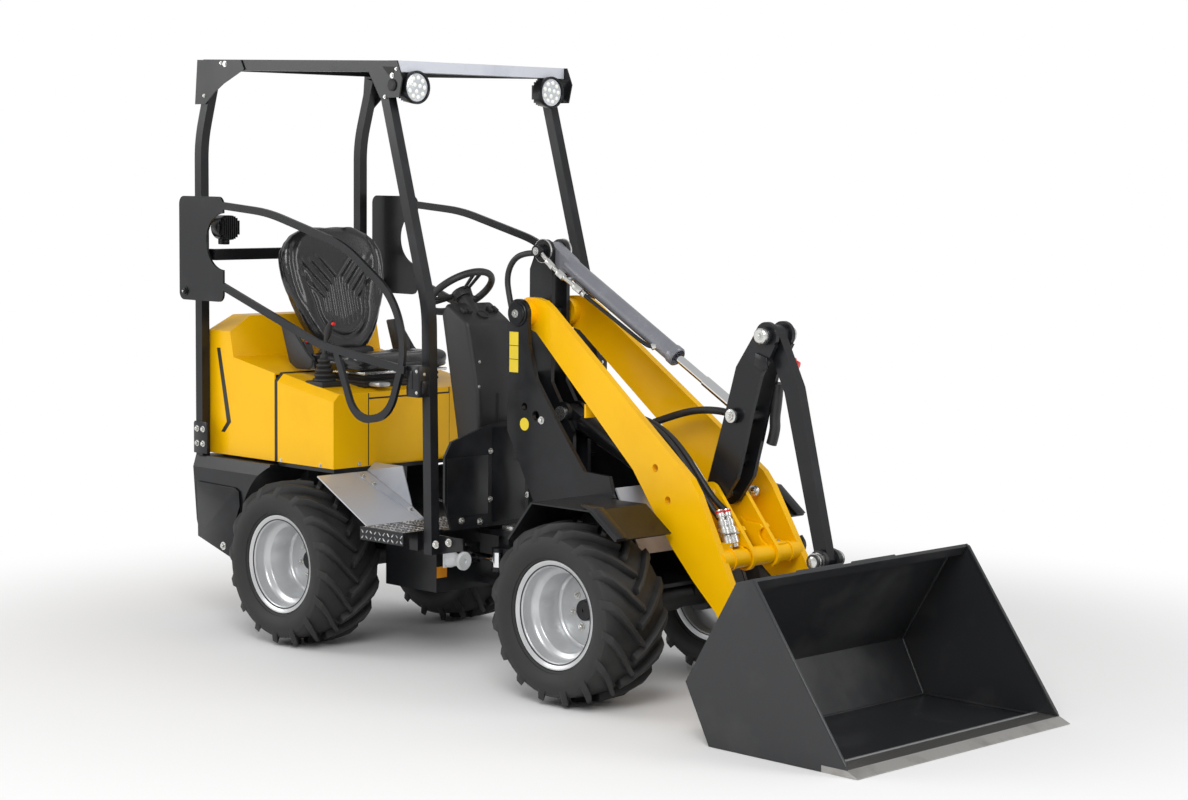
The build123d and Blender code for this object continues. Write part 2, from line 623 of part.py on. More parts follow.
def hood_hinges():
    """Two hinge brackets on the counterweight with the pins that carry the hood."""
    start = HINGE_Y + HINGE_LENGTH / 2 + 1
    ear = cross_pin(hinge_place, HINGE_RADIUS, start, start + 12)
    ear += block(hinge_place[0] - HINGE_RADIUS, hinge_place[0] + HINGE_RADIUS, start, start + 12, WEIGHT_TOP + SEAT_GAP - 12, hinge_place[1])
    foot = block(hinge_place[0] - HINGE_RADIUS, WEIGHT_REAR_X - SEAT_GAP, start, start + 12, WEIGHT_TOP - 40, WEIGHT_TOP - 2)
    pin = cross_pin(hinge_place, HINGE_PIN_RADIUS, HINGE_Y - HINGE_LENGTH / 2, start + 2)
    return both_sides(ear + foot + pin)


def seat_box():
    """Box in front of the hood seam that carries the seat and the joystick."""
    front = BOX_FRONT_X
    outline = [
        (HOOD_SEAM_X, BODY_BOTTOM), (HOOD_SEAM_X, DECK_SEAM_Z), (front, DECK_FRONT_Z), (front, BODY_BOTTOM),
    ]
    body = side_plate(outline, -BODY_HALF_WIDTH, BODY_HALF_WIDTH)
    return chamfer(body.edges().filter_by(Axis.Y, reverse=True).group_by(Axis.Z)[-1].sort_by(Axis.Y)[0:1], DECK_CHAMFER)


def body_sill():
    """Black sill under the hood and the box, joined to the frame plates."""
    inner = FRAME_PLATE_Y
    top = BODY_BOTTOM - SEAT_GAP
    plate = block(ARCH_FRONT_X + 4, BOX_FRONT_X, -BODY_HALF_WIDTH + 2, BODY_HALF_WIDTH - 2, top - 14, top)
    plate -= block(ARCH_FRONT_X, HOOD_SEAM_X + 20, -ENGINE_HALF_WIDTH - 4, ENGINE_HALF_WIDTH + 4, 0, 1000)
    posts = block(-60, 60, inner - FRAME_PLATE, inner, FRAME_TOP, top - 14)
    return plate + both_sides(posts)


def floor_plate():
    """Checker-plate floor with a step on each side and a turned-down lip."""
    top = FLOOR_Z + FLOOR_PLATE
    plate = block(TANK_REAR_X, FLOOR_FRONT_X, -SHIELD_HALF_WIDTH, SHIELD_HALF_WIDTH, FLOOR_Z, top)
    plate += block(BOX_FRONT_X - 60, TANK_REAR_X + 1, -FRAME_PLATE_Y, FRAME_PLATE_Y, FLOOR_Z, top)
    step = block(STEP_REAR_X, STEP_FRONT_X, SHIELD_HALF_WIDTH - 5, STEP_HALF_WIDTH, FLOOR_Z, top)
    lip = block(STEP_REAR_X, STEP_FRONT_X, STEP_HALF_WIDTH - FLOOR_PLATE, STEP_HALF_WIDTH, FLOOR_Z - STEP_LIP, FLOOR_Z + 1)
    notch = block(STEP_FRONT_X - 20, 800, POST_Y - 60, POST_Y + 100, 0, 2000)
    return plate + both_sides(step + lip) - both_sides(notch)


def heel_panels():
    """Sloping sheet panels in front of the rear wheels."""
    top = (BOX_FRONT_X + 2, BODY_BOTTOM - 20)
    foot = (STEP_REAR_X + 6, FLOOR_Z + FLOOR_PLATE + SEAT_GAP)
    outline = [top, (top[0] + HEEL_PLATE, top[1] + HEEL_PLATE), (foot[0] + 2 * HEEL_PLATE, foot[1]), foot]
    return both_sides(side_plate(outline, HEEL_INNER_Y, SHIELD_HALF_WIDTH + 130))


def leg_shield():
    """Upright shield between the floor and the tower."""
    low = FLOOR_Z + FLOOR_PLATE + SEAT_GAP
    half = SHIELD_HALF_WIDTH
    outline = [(half - 30, low), (half, low + 90), (half, SHIELD_TOP - 98), (half - 30, SHIELD_TOP - 50), (75, SHIELD_TOP)]
    outline += [(-y, z) for y, z in outline[::-1]]
    rear = Plane(origin=(FLOOR_FRONT_X - SHIELD_PLATE, 0, 0), x_dir=(0, 1, 0), z_dir=(1, 0, 0))
    return extrude(rear * make_face(Polyline(*outline, close=True)), amount=SHIELD_PLATE)


def console():
    """Moulded housing of the steering column."""
    body = side_plate(CONSOLE_PROFILE, -CONSOLE_HALF_WIDTH, CONSOLE_HALF_WIDTH)
    foot = block(500, 600, -60, 60, FLOOR_Z + FLOOR_PLATE + SEAT_GAP, 642)
    top = -STEERING_HUB_LENGTH - SEAT_GAP
    column = wheel_plane * Pos(0, 0, top - COLUMN_LENGTH / 2) * Cylinder(COLUMN_RADIUS, COLUMN_LENGTH)
    return body + foot + column


column_axis = (-math.sin(math.radians(COLUMN_TILT)), 0, math.cos(math.radians(COLUMN_TILT)))
wheel_plane = Plane(origin=(WHEEL_CENTRE[0], 0, WHEEL_CENTRE[1]), x_dir=(0, 1, 0), z_dir=column_axis)


def steering_wheel():
    """Round rim with three spokes and a hub, square to its column."""
    ring = Torus(STEERING_RADIUS - STEERING_RIM_RADIUS, STEERING_RIM_RADIUS)
    hub = Pos(0, 0, -STEERING_HUB_LENGTH / 2) * Cylinder(STEERING_HUB_RADIUS, STEERING_HUB_LENGTH)
    wheel = ring + hub
    for turn in (90, 210, 330):
        spoke = Pos((STEERING_RADIUS - STEERING_RIM_RADIUS) / 2, 0, -4) * Box(STEERING_RADIUS - STEERING_RIM_RADIUS, SPOKE_WIDTH, 7)
        wheel += Rot(0, 0, turn) * spoke
    return wheel_plane * wheel


def deck_z(x):
    """Height just above the seat box's sloping top."""
    slope = (DECK_FRONT_Z - DECK_SEAM_Z) / (BOX_FRONT_X - HOOD_SEAM_X)
    return DECK_SEAM_Z + slope * (x - HOOD_SEAM_X) + SEAT_GAP


def seat_base():
    """Suspension box under the seat."""
    rear, front = SEAT_BASE_X
    outline = [(rear, deck_z(rear)), (rear, SEAT_BASE_TOP), (front, SEAT_BASE_TOP), (front, deck_z(front))]
    return side_plate(outline, -SEAT_BASE_WIDTH / 2, SEAT_BASE_WIDTH / 2)


def seat_cushion():
    """Seat cushion."""
    half = CUSHION_WIDTH / 2
    pad = block(CUSHION_X[0], CUSHION_X[1], -half, half, SEAT_BASE_TOP + SEAT_GAP, CUSHION_TOP)
    return fillet(pad.edges().filter_by(Axis.Z), CUSHION_CORNER)


def seat_back():
    """Backrest, leaning back."""
    outline = list(BACK_OUTLINE) + [(-y, z) for y, z in BACK_OUTLINE[::-1]]
    front = Plane(origin=(-BACK_THICKNESS, 0, 0), x_dir=(0, 1, 0), z_dir=(1, 0, 0))
    pad = extrude(front * make_face(Polyline(*outline, close=True)), amount=BACK_THICKNESS)
    return Pos(BACK_FOOT[0], 0, BACK_FOOT[1]) * Rot(0, -BACK_LEAN, 0) * pad


def seat_brackets():
    """Brackets beside the cushion that carry the backrest."""
    rear, low = CUSHION_X[0], SEAT_BASE_TOP + SEAT_GAP
    outer = BACK_WIDTH / 2 + SEAT_GAP + BRACKET_PLATE
    outline = [
        (rear + 20, low), (rear + 100, low), (rear + 60, low + 50), (rear - 30, low + BRACKET_HEIGHT),
        (rear - 75, low + BRACKET_HEIGHT), (rear - 20, low + 80),
    ]
    plate = side_plate(outline, outer - BRACKET_PLATE, outer)
    tab = block(rear + 55, rear + 90, CUSHION_WIDTH / 2 + SEAT_GAP, outer - 1, low + 4, low + 24)
    return both_sides(plate + tab)


def joystick():
    """Control lever in its bellows."""
    x, y = STICK_PLACE
    deck = deck_z(x)
    bellows = Pos(x, y, deck + 52) * Cone(42, 18, 76)
    rear, front = x - STICK_FOOT / 2, x + STICK_FOOT / 2
    outline = [(rear, deck_z(rear)), (front, deck_z(front)), (front, deck + 15), (rear, deck + 15)]
    foot = side_plate(outline, y - STICK_FOOT / 2, y + STICK_FOOT / 2)
    lever = Pos(x, y, deck + 90) * Rot(0, 12, 0) * Pos(0, 0, (STICK_TOP - deck - 90) / 2) * Cylinder(17, STICK_TOP - deck - 90)
    return bellows + foot + lever


def rear_posts():
    """Rear posts of the canopy with the bar between them."""
    line = ((REAR_POST_X, WEIGHT_TOP + SEAT_GAP),) + REAR_POST_LINE
    post = bent_bar(line, POST_BEND, POST_WIDTH, POST_DEPTH, POST_Y) - roof_slab(SEAT_GAP)
    y = POST_Y - POST_WIDTH / 2 + 1
    depth, height = CROSSBAR_SIZE
    bar = block(REAR_POST_X + 20, REAR_POST_X + 20 + depth, -y, y, CROSSBAR_Z - height / 2, CROSSBAR_Z + height / 2)
    ends = block(REAR_POST_X, REAR_POST_X + 20 + depth, y - 22, y, CROSSBAR_Z - height / 2, CROSSBAR_Z + height / 2)
    boss = cross_pin(GUARD_PIN, 22, POST_Y + POST_WIDTH / 2 - 1, GUARD_Y - GUARD_PLATE - 2)
    boss += cross_pin(GUARD_PIN, GUARD_PIN_RADIUS, POST_Y + POST_WIDTH / 2, GUARD_Y + 12)
    return both_sides(post + ends + boss) + bar


def front_posts():
    """Front posts of the canopy with the brackets at their feet."""
    post = bent_bar(FRONT_POST_LINE, POST_BEND, POST_WIDTH, POST_DEPTH, POST_Y)
    low, high = FOOT_Z
    rear = FRAME_FRONT_X + SEAT_GAP
    beam = block(rear, rear + FOOT_BEAM, TANK_HALF_WIDTH - 50, POST_Y, low, high - SEAT_GAP)
    outer = POST_Y - POST_WIDTH / 2
    outline = [(rear, low), (rear, high - SEAT_GAP), (FOOT_REACH, high - SEAT_GAP), (FOOT_REACH, low + 20), (720, low)]
    foot = side_plate(outline, outer - FOOT_PLATE, outer)
    return both_sides(post - roof_slab(SEAT_GAP) + beam + foot)


def roof_slab(gap):
    """The roof's outer form, thicker below by a gap."""
    rear_x, rear_z = ROOF_REAR
    front_x, front_z = ROOF_FRONT
    half = POST_Y + POST_WIDTH / 2
    drop = ROOF_DEPTH + gap
    outline = [(rear_x, rear_z), (front_x, front_z), (front_x, front_z - drop), (rear_x, rear_z - drop)]
    return side_plate(outline, -half, half)


def roof():
    """Roof frame with a flat panel."""
    rear_x, rear_z = ROOF_REAR
    front_x, front_z = ROOF_FRONT
    half = POST_Y + POST_WIDTH / 2
    pocket = side_plate(
        [
            (rear_x + ROOF_RAIL, rear_z - ROOF_PANEL), (front_x - ROOF_RAIL, front_z - ROOF_PANEL),
            (front_x - ROOF_RAIL, front_z - ROOF_DEPTH - 5), (rear_x + ROOF_RAIL, rear_z - ROOF_DEPTH - 5),
        ],
        -half + POST_WIDTH, half - POST_WIDTH,
    )
    gussets = None
    for outline, (x0, x1, z0, z1) in ((FRONT_GUSSET, FRONT_PAD), (REAR_GUSSET, REAR_PAD)):
        plate = side_plate(outline, half + SEAT_GAP, half + GUSSET_PLATE) + block(x0, x1, half - 1, half + 1, z0, z1)
        gussets = plate if gussets is None else gussets + plate
    return roof_slab(0) - pocket + both_sides(gussets)


def work_lamps():
    """Two round work lamps under the front beam and one at the rear post."""
    body = Pos(LAMP_FRONT_X - LAMP_DEPTH / 2, LAMP_Y, LAMP_Z) * Rot(0, 90, 0) * Cylinder(LAMP_RADIUS, LAMP_DEPTH)
    beam_z = ROOF_FRONT[1] - ROOF_DEPTH - SEAT_GAP
    foot = block(LAMP_FRONT_X - LAMP_DEPTH, ROOF_FRONT[0], LAMP_Y - 12, LAMP_Y + 12, LAMP_Z + 20, beam_z)
    x, y, z = REAR_LAMP
    rear = Pos(x, y, z) * Rot(0, 90, 0) * Cylinder(REAR_LAMP_RADIUS, 44)
    arm = block(REAR_POST_X + POST_DEPTH / 2 + SEAT_GAP, x, y - 10, y + 10, z - 12, z + 12)
    return both_sides(body + foot) + rear + arm


def guard(side):
    """Side guard: a plate on the rear post with a bar bent into a loop."""
    x0, z0, x1, z1 = GUARD_PLATE_BOX
    y0, y1 = GUARD_Y - GUARD_PLATE, GUARD_Y
    plate = block(x0, x1, y0, y1, z0, z1)
    plate = fillet(plate.edges().filter_by(Axis.Y), GUARD_CORNER)
    plate -= cross_pin((GUARD_NOTCH_X, GUARD_NOTCH_Z), GUARD_NOTCH_RADIUS, y0 - 1, y1 + 1)
    plate -= cross_pin(GUARD_PIN, GUARD_PIN_RADIUS + RUNNING, y0 - 1, y1 + 1)
    width, depth = GUARD_BAR
    y = GUARD_Y - depth / 2
    loop = bent_bar(GUARD_LOOP, GUARD_LOOP_BENDS, depth, width, y)
    lower = bent_bar(GUARD_LOWER, GUARD_LOWER_BEND, depth, width, y)
    whole = plate + loop + lower
    return whole if side > 0 else mirror(whole, about=Plane.XZ)


save("rear_frame", rear_frame())
save("joint_pin", joint_pin())
save("counterweight", counterweight())
save("engine", engine())
save("hood", hood())
save("hood_hinges", hood_hinges())
save("seat_box", seat_box())
save("body_sill", body_sill())
save("floor_plate", floor_plate())
save("heel_panels", heel_panels())
save("leg_shield", leg_shield())
save("console", console())
save("steering_wheel", steering_wheel())
save("seat_base", seat_base())
save("seat_cushion", seat_cushion())
save("seat_back", seat_back())
save("seat_brackets", seat_brackets())
save("joystick", joystick())
save("rear_posts", rear_posts())
save("front_posts", front_posts())
save("roof", roof())
save("work_lamps", work_lamps())
for side_name, side in (("left", 1), ("right", -1)):
    save(f"guard_{side_name}", guard(side))


# Front chassis
def front_chassis():
    """Knuckle of the centre joint, web, cross wall and floor between the tower plates."""
    knuckle_low = YOKE_LOW_Z + YOKE_EAR + 1
    knuckle_high = YOKE_HIGH_Z - 1
    inner = TOWER_Y - TOWER_PLATE - SEAT_GAP
    knuckle = upright(joint_place, JOINT_PIN_RADIUS + 22, knuckle_low, knuckle_high)
    web = block(JOINT_X, FRONT_WALL_X + 1, -FRONT_WEB_HALF, FRONT_WEB_HALF, knuckle_low, knuckle_high)
    wall = block(FRONT_WALL_X, FRONT_WALL_X + FRONT_PLATE, -inner, inner, knuckle_low, COLUMN_FOOT_Z - SEAT_GAP)
    floor = block(FRONT_WALL_X, 1436, -inner, inner, FRONT_FLOOR_Z, FRONT_FLOOR_Z + FRONT_PLATE)
    lugs = None
    for z0, z1 in steer_ears:
        lug = block(STEER_EYE[0] - 24, STEER_EYE[0] + 60, STEER_EYE[1] - 4, -FRONT_WEB_HALF + 1, z0, z1)
        lug += upright(STEER_EYE, 24, z0, z1)
        lugs = lug if lugs is None else lugs + lug
    return knuckle + web + wall + floor + lugs - upright(joint_place, JOINT_PIN_RADIUS + RUNNING, 0, 600)


def tower():
    """Outer plates that carry the boom and the narrow column that carries the tilt cylinder."""
    outer = side_plate(TOWER_OUTLINE + ((BOOM_PIN[0] + TOWER_HEAD_RADIUS - 2, BOOM_PIN[1]), (BOOM_PIN[0], BOOM_PIN[1] + 20)), TOWER_Y - TOWER_PLATE, TOWER_Y)
    outer += cross_pin(BOOM_PIN, TOWER_HEAD_RADIUS, TOWER_Y - TOWER_PLATE, TOWER_Y)
    y0 = COLUMN_GAP / 2
    y1 = y0 + COLUMN_PLATE
    column = side_plate(COLUMN_OUTLINE + ((TILT_PIN[0] + COLUMN_HEAD_RADIUS, TILT_PIN[1]), (TILT_PIN[0] - COLUMN_HEAD_RADIUS, TILT_PIN[1])), y0, y1)
    column += cross_pin(TILT_PIN, COLUMN_HEAD_RADIUS, y0, y1 + 8)
    column += cross_pin(LIFT_BASE, EYE_RADIUS + 6, y0, y1)
    tie = block(836, 930, y0, TOWER_Y - TOWER_PLATE + 1, 700, 712)
    tie += block(960, 1010, y0, TOWER_Y - TOWER_PLATE + 1, COLUMN_FOOT_Z, COLUMN_FOOT_Z + 12)
    rear_wall = block(826, 838, 0, TOWER_Y - TOWER_PLATE + 1, 800, 990)
    rear_wall += block(SHELF_X, 827, TOWER_HOSE_Y - 24, TOWER_HOSE_Y + 24, SHELF_Z - 8, SHELF_Z)
    outer -= cross_pin((902, 884), 13, 0, TOWER_Y + 1)
    pieces = both_sides(outer + column + tie + rear_wall)
    pieces -= cross_pin(BOOM_PIN, PIN_RADIUS + 4 + RUNNING, -TOWER_Y - 5, TOWER_Y + 5)
    pieces -= cross_pin(TILT_PIN, PIN_RADIUS + RUNNING, -TOWER_Y - 5, TOWER_Y + 5)
    pieces -= cross_pin(LIFT_BASE, PIN_RADIUS + RUNNING, -TOWER_Y - 5, TOWER_Y + 5)
    return pieces


def corner_radii(points):
    """Bend radii of a hose's route, each leaving a straight piece of its shorter run."""
    radii = []
    for before, corner, after in zip(points, points[1:], points[2:]):
        first, second = Vector(*corner) - Vector(*before), Vector(*after) - Vector(*corner)
        turn = math.radians(first.get_angle(second))
        radii.append(HOSE_RUN_SHARE * min(first.length, second.length) / math.tan(turn / 2))
    return radii


def hose(points):
    """A round hose along a route with rounded bends."""
    path = FilletPolyline(*points, radius=corner_radii(points))
    first, second = Vector(*points[0]), Vector(*points[1])
    return sweep(Plane(origin=first, z_dir=second - first) * Circle(HOSE_RADIUS), path=path)


def boom_pin():
    """Pin through the tower and both arms, with the lift cylinder's base pin below it."""
    pin = cross_pin(BOOM_PIN, PIN_RADIUS + 4, -TOWER_Y - 8, TOWER_Y + 8)
    heads = cross_pin(BOOM_PIN, PIN_RADIUS + 14, TOWER_Y + SEAT_GAP, TOWER_Y + 12)
    return pin + both_sides(heads)


def lift_base_pin():
    """Base pin of the lift cylinder."""
    edge = COLUMN_GAP / 2 + COLUMN_PLATE
    pin = cross_pin(LIFT_BASE, PIN_RADIUS, -edge - 6, edge + 6)
    return pin + both_sides(cross_pin(LIFT_BASE, PIN_RADIUS + 8, edge + SEAT_GAP, edge + 8))


def nose_panel():
    """Sloping panel that closes the front of the chassis."""
    high, low = NOSE_PANEL
    outline = [high, along(high, low, 0, NOSE_PLATE), along(high, low, math.dist(high, low), NOSE_PLATE), low]
    inner = TOWER_Y - TOWER_PLATE - SEAT_GAP
    return side_plate(outline, -inner, inner)


def fenders():
    """Folded mudguard over each front tyre."""
    upper = list(FENDER_LINE)
    lower = [(x + (6 if i < 2 else -6), z - FENDER_PLATE) for i, (x, z) in enumerate(upper)]
    sheet = side_plate(upper + lower[::-1], TOWER_Y + SEAT_GAP, FENDER_Y)
    sheet -= block(FENDER_NOTCH_X, 2000, 0, FENDER_NOTCH_Y, 0, 1000)
    return both_sides(sheet)


save("front_chassis", front_chassis())
save("tower", tower())
save("tower_hose", hose([(x, -TOWER_HOSE_Y, z) for x, z in TOWER_HOSE]))
save("boom_pin", boom_pin())
save("lift_base_pin", lift_base_pin())
save("nose_panel", nose_panel())
save("fenders", fenders())


# Boom, crank, link
def arm_y(x):
    """Outer face of an arm at a place along the machine."""
    return ARM_TOP_Y + ARM_SPREAD * (x - BOOM_PIN[0])


def arm():
    """One lift arm, a thick plate that leans outwards in plan."""
    outline = ((BOOM_PIN[0], BOOM_PIN[1] + ARM_HEAD_RADIUS),) + ARM_UPPER
    outline += ((HITCH_PIN[0] + ARM_FOOT_RADIUS * 0.92, HITCH_PIN[1] + ARM_FOOT_RADIUS * 0.4),)
    outline += ((HITCH_PIN[0] - ARM_FOOT_RADIUS * 0.86, HITCH_PIN[1] - ARM_FOOT_RADIUS * 0.5),) + ARM_LOWER
    outline += ((BOOM_PIN[0], BOOM_PIN[1] - ARM_HEAD_RADIUS),)
    plate = side_plate(outline, 0, TOWER_Y * 2)
    plate += cross_pin(BOOM_PIN, ARM_HEAD_RADIUS, 0, TOWER_Y * 2) + cross_pin(HITCH_PIN, ARM_FOOT_RADIUS, 0, TOWER_Y * 2)
    x0, x1 = BOOM_PIN[0] - 80, HITCH_PIN[0] + 80
    plan = [(x0, arm_y(x0)), (x1, arm_y(x1)), (x1, arm_y(x1) - ARM_PLATE), (x0, arm_y(x0) - ARM_PLATE)]
    sheet = extrude(make_face(Polyline(*plan, close=True)), amount=1600)
    return plate & sheet


foot_y = arm_y(HITCH_PIN[0])
foot_inner = foot_y - ARM_PLATE - 8
foot_outer = foot_y + 8


def boom():
    """Both arms with their bosses, cross tube and the lugs of the crank."""
    half = arm()
    head_inner = COLUMN_GAP / 2 + COLUMN_PLATE + 16
    head_outer = TOWER_Y - TOWER_PLATE - 2
    half += cross_pin(BOOM_PIN, ARM_BOSS_RADIUS, head_inner, head_outer)
    half += cross_pin(HITCH_PIN, ARM_FOOT_RADIUS - 8, foot_inner, foot_outer)
    for x, z, radius in ARM_HOLES:
        half -= cross_pin((x, z), radius, 0, TOWER_Y * 2)
    half -= cross_pin(BOOM_PIN, PIN_RADIUS + 4 + RUNNING, 0, TOWER_Y)
    half -= cross_pin(HITCH_PIN, PIN_RADIUS + RUNNING, 0, foot_outer + 10)
    lug = strap(LIFT_ROD_PIN, CRANK_PIN, LUG_RADIUS, LUG_RADIUS, LUG_Y, LUG_Y + LUG_PLATE)
    lug += strap(CRANK_PIN, CROSS_TUBE, LUG_RADIUS, LUG_RADIUS, LUG_Y, LUG_Y + LUG_PLATE)
    lug += strap(LIFT_ROD_PIN, CROSS_TUBE, LUG_RADIUS, LUG_RADIUS, LUG_Y, LUG_Y + LUG_PLATE)
    tube_end = arm_y(CROSS_TUBE[0]) - 10
    brace = cross_pin((1610, 560), 20, LUG_Y, arm_y(1610) - 10)
    whole = both_sides(half + lug + brace) + cross_pin(CROSS_TUBE, CROSS_TUBE_RADIUS, -tube_end, tube_end)
    whole -= cross_pin(CRANK_PIN, PIN_RADIUS + RUNNING, -LUG_Y - 40, LUG_Y + 40)
    clamp_y = arm_y(CLAMP[0]) - ARM_PLATE / 2
    clamp = block(CLAMP[0] - 8, CLAMP[0], -clamp_y, -55, CLAMP[1] - 22, CLAMP[1] + 22)
    coupler = rod(COUPLER[0], COUPLER[1], 13, 0, math.dist(*COUPLER), -BOOM_HOSE_Y)
    rest = block(1762, 1784, -arm_y(1770) + 10, -BOOM_HOSE_Y + 8, 500, 528)
    return whole + clamp + coupler + rest


def crank():
    """Tilt crank of two plates with bosses at its pins."""
    y0, y1 = CRANK_INNER_Y, CRANK_INNER_Y + CRANK_PLATE
    plate = side_plate(CRANK_LEFT + CRANK_RIGHT, y0, y1)
    plate += cross_pin(LINK_TOP, CRANK_HEAD_RADIUS, y0, y1) + cross_pin(CRANK_PIN, CRANK_FOOT_RADIUS, y0, y1 + 3)
    plate += cross_pin(TILT_ROD_PIN, 34, y0, y1) + cross_pin(TILT_ROD_PIN, 24, y1, y1 + 16)
    plate += cross_pin(LINK_TOP, 28, y1, y1 + 14)
    spacer = cross_pin(CRANK_SPACER, 24, -y0 - 1, y0 + 1)
    whole = both_sides(plate) + spacer
    whole -= cross_pin(CRANK_PIN, PIN_RADIUS + RUNNING, -100, 100)
    whole -= cross_pin(LINK_TOP, PIN_RADIUS + RUNNING, -100, 100)
    return whole


def crank_pin():
    """Pin that carries the crank between the boom's lugs."""
    edge = LUG_Y + LUG_PLATE
    pin = cross_pin(CRANK_PIN, PIN_RADIUS, -edge - 8, edge + 8)
    return pin + both_sides(cross_pin(CRANK_PIN, PIN_RADIUS + 8, edge + SEAT_GAP, edge + 10))


def link_pin():
    """Pin that carries the link at the crank's head."""
    edge = CRANK_INNER_Y + CRANK_PLATE + 14
    pin = cross_pin(LINK_TOP, PIN_RADIUS, -edge - 8, edge + 8)
    return pin + both_sides(cross_pin(LINK_TOP, PIN_RADIUS + 8, edge + SEAT_GAP, edge + 10))


def link():
    """Bent bar between the crank and the hitch; its foot pin floats between the hitch lugs."""
    half = LINK_DEPTH / 2
    top, foot = CRANK_INNER_Y - SEAT_GAP, LINK_LUG_Y - SEAT_GAP
    bar = strap(LINK_TOP, LINK_BEND, half, half, -LINK_HALF_WIDTH, LINK_HALF_WIDTH)
    bar += strap(LINK_BEND, LINK_FOOT, half, LINK_FOOT_RADIUS, -LINK_HALF_WIDTH, LINK_HALF_WIDTH)
    bar += cross_pin(LINK_TOP, EYE_RADIUS, -top, top)
    bar += cross_pin(LINK_FOOT, LINK_FOOT_RADIUS, -foot, foot)
    return bar - cross_pin(LINK_TOP, PIN_RADIUS + RUNNING, -100, 100)


save("boom", boom())
save("boom_hose", hose(BOOM_HOSE))
save("crank", crank())
save("crank_pin", crank_pin())
save("link", link())
save("link_pin", link_pin())


# Hitch and bucket
back_low, back_high = BUCKET_OUTLINE[5], BUCKET_OUTLINE[0]
back_length = math.dist(back_low, back_high)


def behind_bucket(up, out):
    """A place up the bucket's back and out behind it."""
    return along(back_low, back_high, up, out)


def hitch():
    """Quick hitch: a plate on the bucket's back, slotted for the link, with ears at the arms and lugs at the link."""
    near, far = HITCH_PLATE_GAP, HITCH_PLATE_GAP + HITCH_PLATE
    plate = side_plate(
        [behind_bucket(6, near), behind_bucket(back_length - 4, near), behind_bucket(back_length - 4, far), behind_bucket(6, far)],
        -HITCH_HALF_WIDTH, HITCH_HALF_WIDTH,
    )
    window_low, window_high, window_y = HITCH_WINDOW
    window = side_plate(
        [
            behind_bucket(window_low, near - 1), behind_bucket(window_high, near - 1),
            behind_bucket(window_high, far + 1), behind_bucket(window_low, far + 1),
        ],
        -window_y, window_y,
    )
    whole = plate - window
    for y0 in (foot_inner - HITCH_LUG - 2, foot_outer + 2):
        ear = cross_pin(HITCH_PIN, HITCH_EAR_RADIUS, y0, y0 + HITCH_LUG)
        ear += side_plate(
            [
                behind_bucket(6, near), behind_bucket(190, near), behind_bucket(190, far + 10),
                (HITCH_PIN[0] + 6, HITCH_PIN[1] + HITCH_EAR_RADIUS), (HITCH_PIN[0], HITCH_PIN[1] - HITCH_EAR_RADIUS),
            ],
            y0, y0 + HITCH_LUG,
        )
        whole += both_sides(ear)
    lug = side_plate(
        [
            behind_bucket(230, near), behind_bucket(back_length - 4, near),
            along(LINK_FOOT, back_high, 0, -30), (LINK_FOOT[0] - 30, LINK_FOOT[1] - 8),
        ],
        LINK_LUG_Y, LINK_LUG_Y + HITCH_LUG,
    )
    lug += cross_pin(LINK_FOOT, 34, LINK_LUG_Y, LINK_LUG_Y + HITCH_LUG)
    lug += cross_pin(LINK_FOOT, 24, LINK_LUG_Y + HITCH_LUG, LINK_LUG_Y + HITCH_LUG + 26)
    whole += both_sides(lug)
    for sign in (1, -1):
        whole -= cross_pin(HITCH_PIN, PIN_RADIUS + RUNNING, sign * foot_y - 60, sign * foot_y + 60)
    return whole


def hitch_pins():
    """One pin at each arm's foot."""
    y0, y1 = foot_inner - HITCH_LUG - 2, foot_outer + 2 + HITCH_LUG
    pin = cross_pin(HITCH_PIN, PIN_RADIUS, y0 - 6, y1 + 8)
    return both_sides(pin + cross_pin(HITCH_PIN, PIN_RADIUS + 8, y1 + SEAT_GAP, y1 + 10))


def bucket():
    """Open bucket of sheet: back, floor, two sides and a box beam along the top."""
    outer = side_plate(BUCKET_OUTLINE, -BUCKET_HALF_WIDTH, BUCKET_HALF_WIDTH)
    top_back, top_front, foot, heel_front, heel, rear = BUCKET_OUTLINE
    wall = BUCKET_PLATE
    _, (ux, uz) = away(rear, top_back)
    beam_x, beam_z = top_front[0] - ux * BUCKET_BEAM, top_front[1] - uz * BUCKET_BEAM
    inner = [
        (rear[0] + wall * 1.1, rear[1] + 1), (beam_x - BUCKET_BEAM * 0.9, beam_z - 6), (beam_x + 12, beam_z + 4),
        (top_front[0] + 14, top_front[1] + 4), (2700, 400), (2700, wall + 1), (heel[0] + 5, wall + 1),
    ]
    cavity = side_plate(inner, -BUCKET_HALF_WIDTH + wall, BUCKET_HALF_WIDTH - wall)
    seat = block(EDGE_REAR_X, 2700, -BUCKET_HALF_WIDTH - 1, BUCKET_HALF_WIDTH + 1, -5, EDGE_THICKNESS + 1 + SEAT_GAP)
    return outer - cavity - seat


def cutting_edge():
    """Bevelled bar along the bucket's lip."""
    outline = [
        (EDGE_REAR_X + SEAT_GAP, 1), (EDGE_TIP_X, 1), (EDGE_TIP_X, 3), (EDGE_TIP_X - 40, EDGE_THICKNESS + 1),
        (EDGE_REAR_X + SEAT_GAP, EDGE_THICKNESS + 1),
    ]
    return side_plate(outline, -BUCKET_HALF_WIDTH, BUCKET_HALF_WIDTH)


save("hitch", hitch())
save("hitch_pins", hitch_pins())
save("bucket", bucket())
save("cutting_edge", cutting_edge())


# Cylinders
tilt_length = math.dist(TILT_PIN, TILT_ROD_PIN)
lift_length = math.dist(LIFT_BASE, LIFT_ROD_PIN)
steer_length = math.dist(STEER_BASE, STEER_EYE)


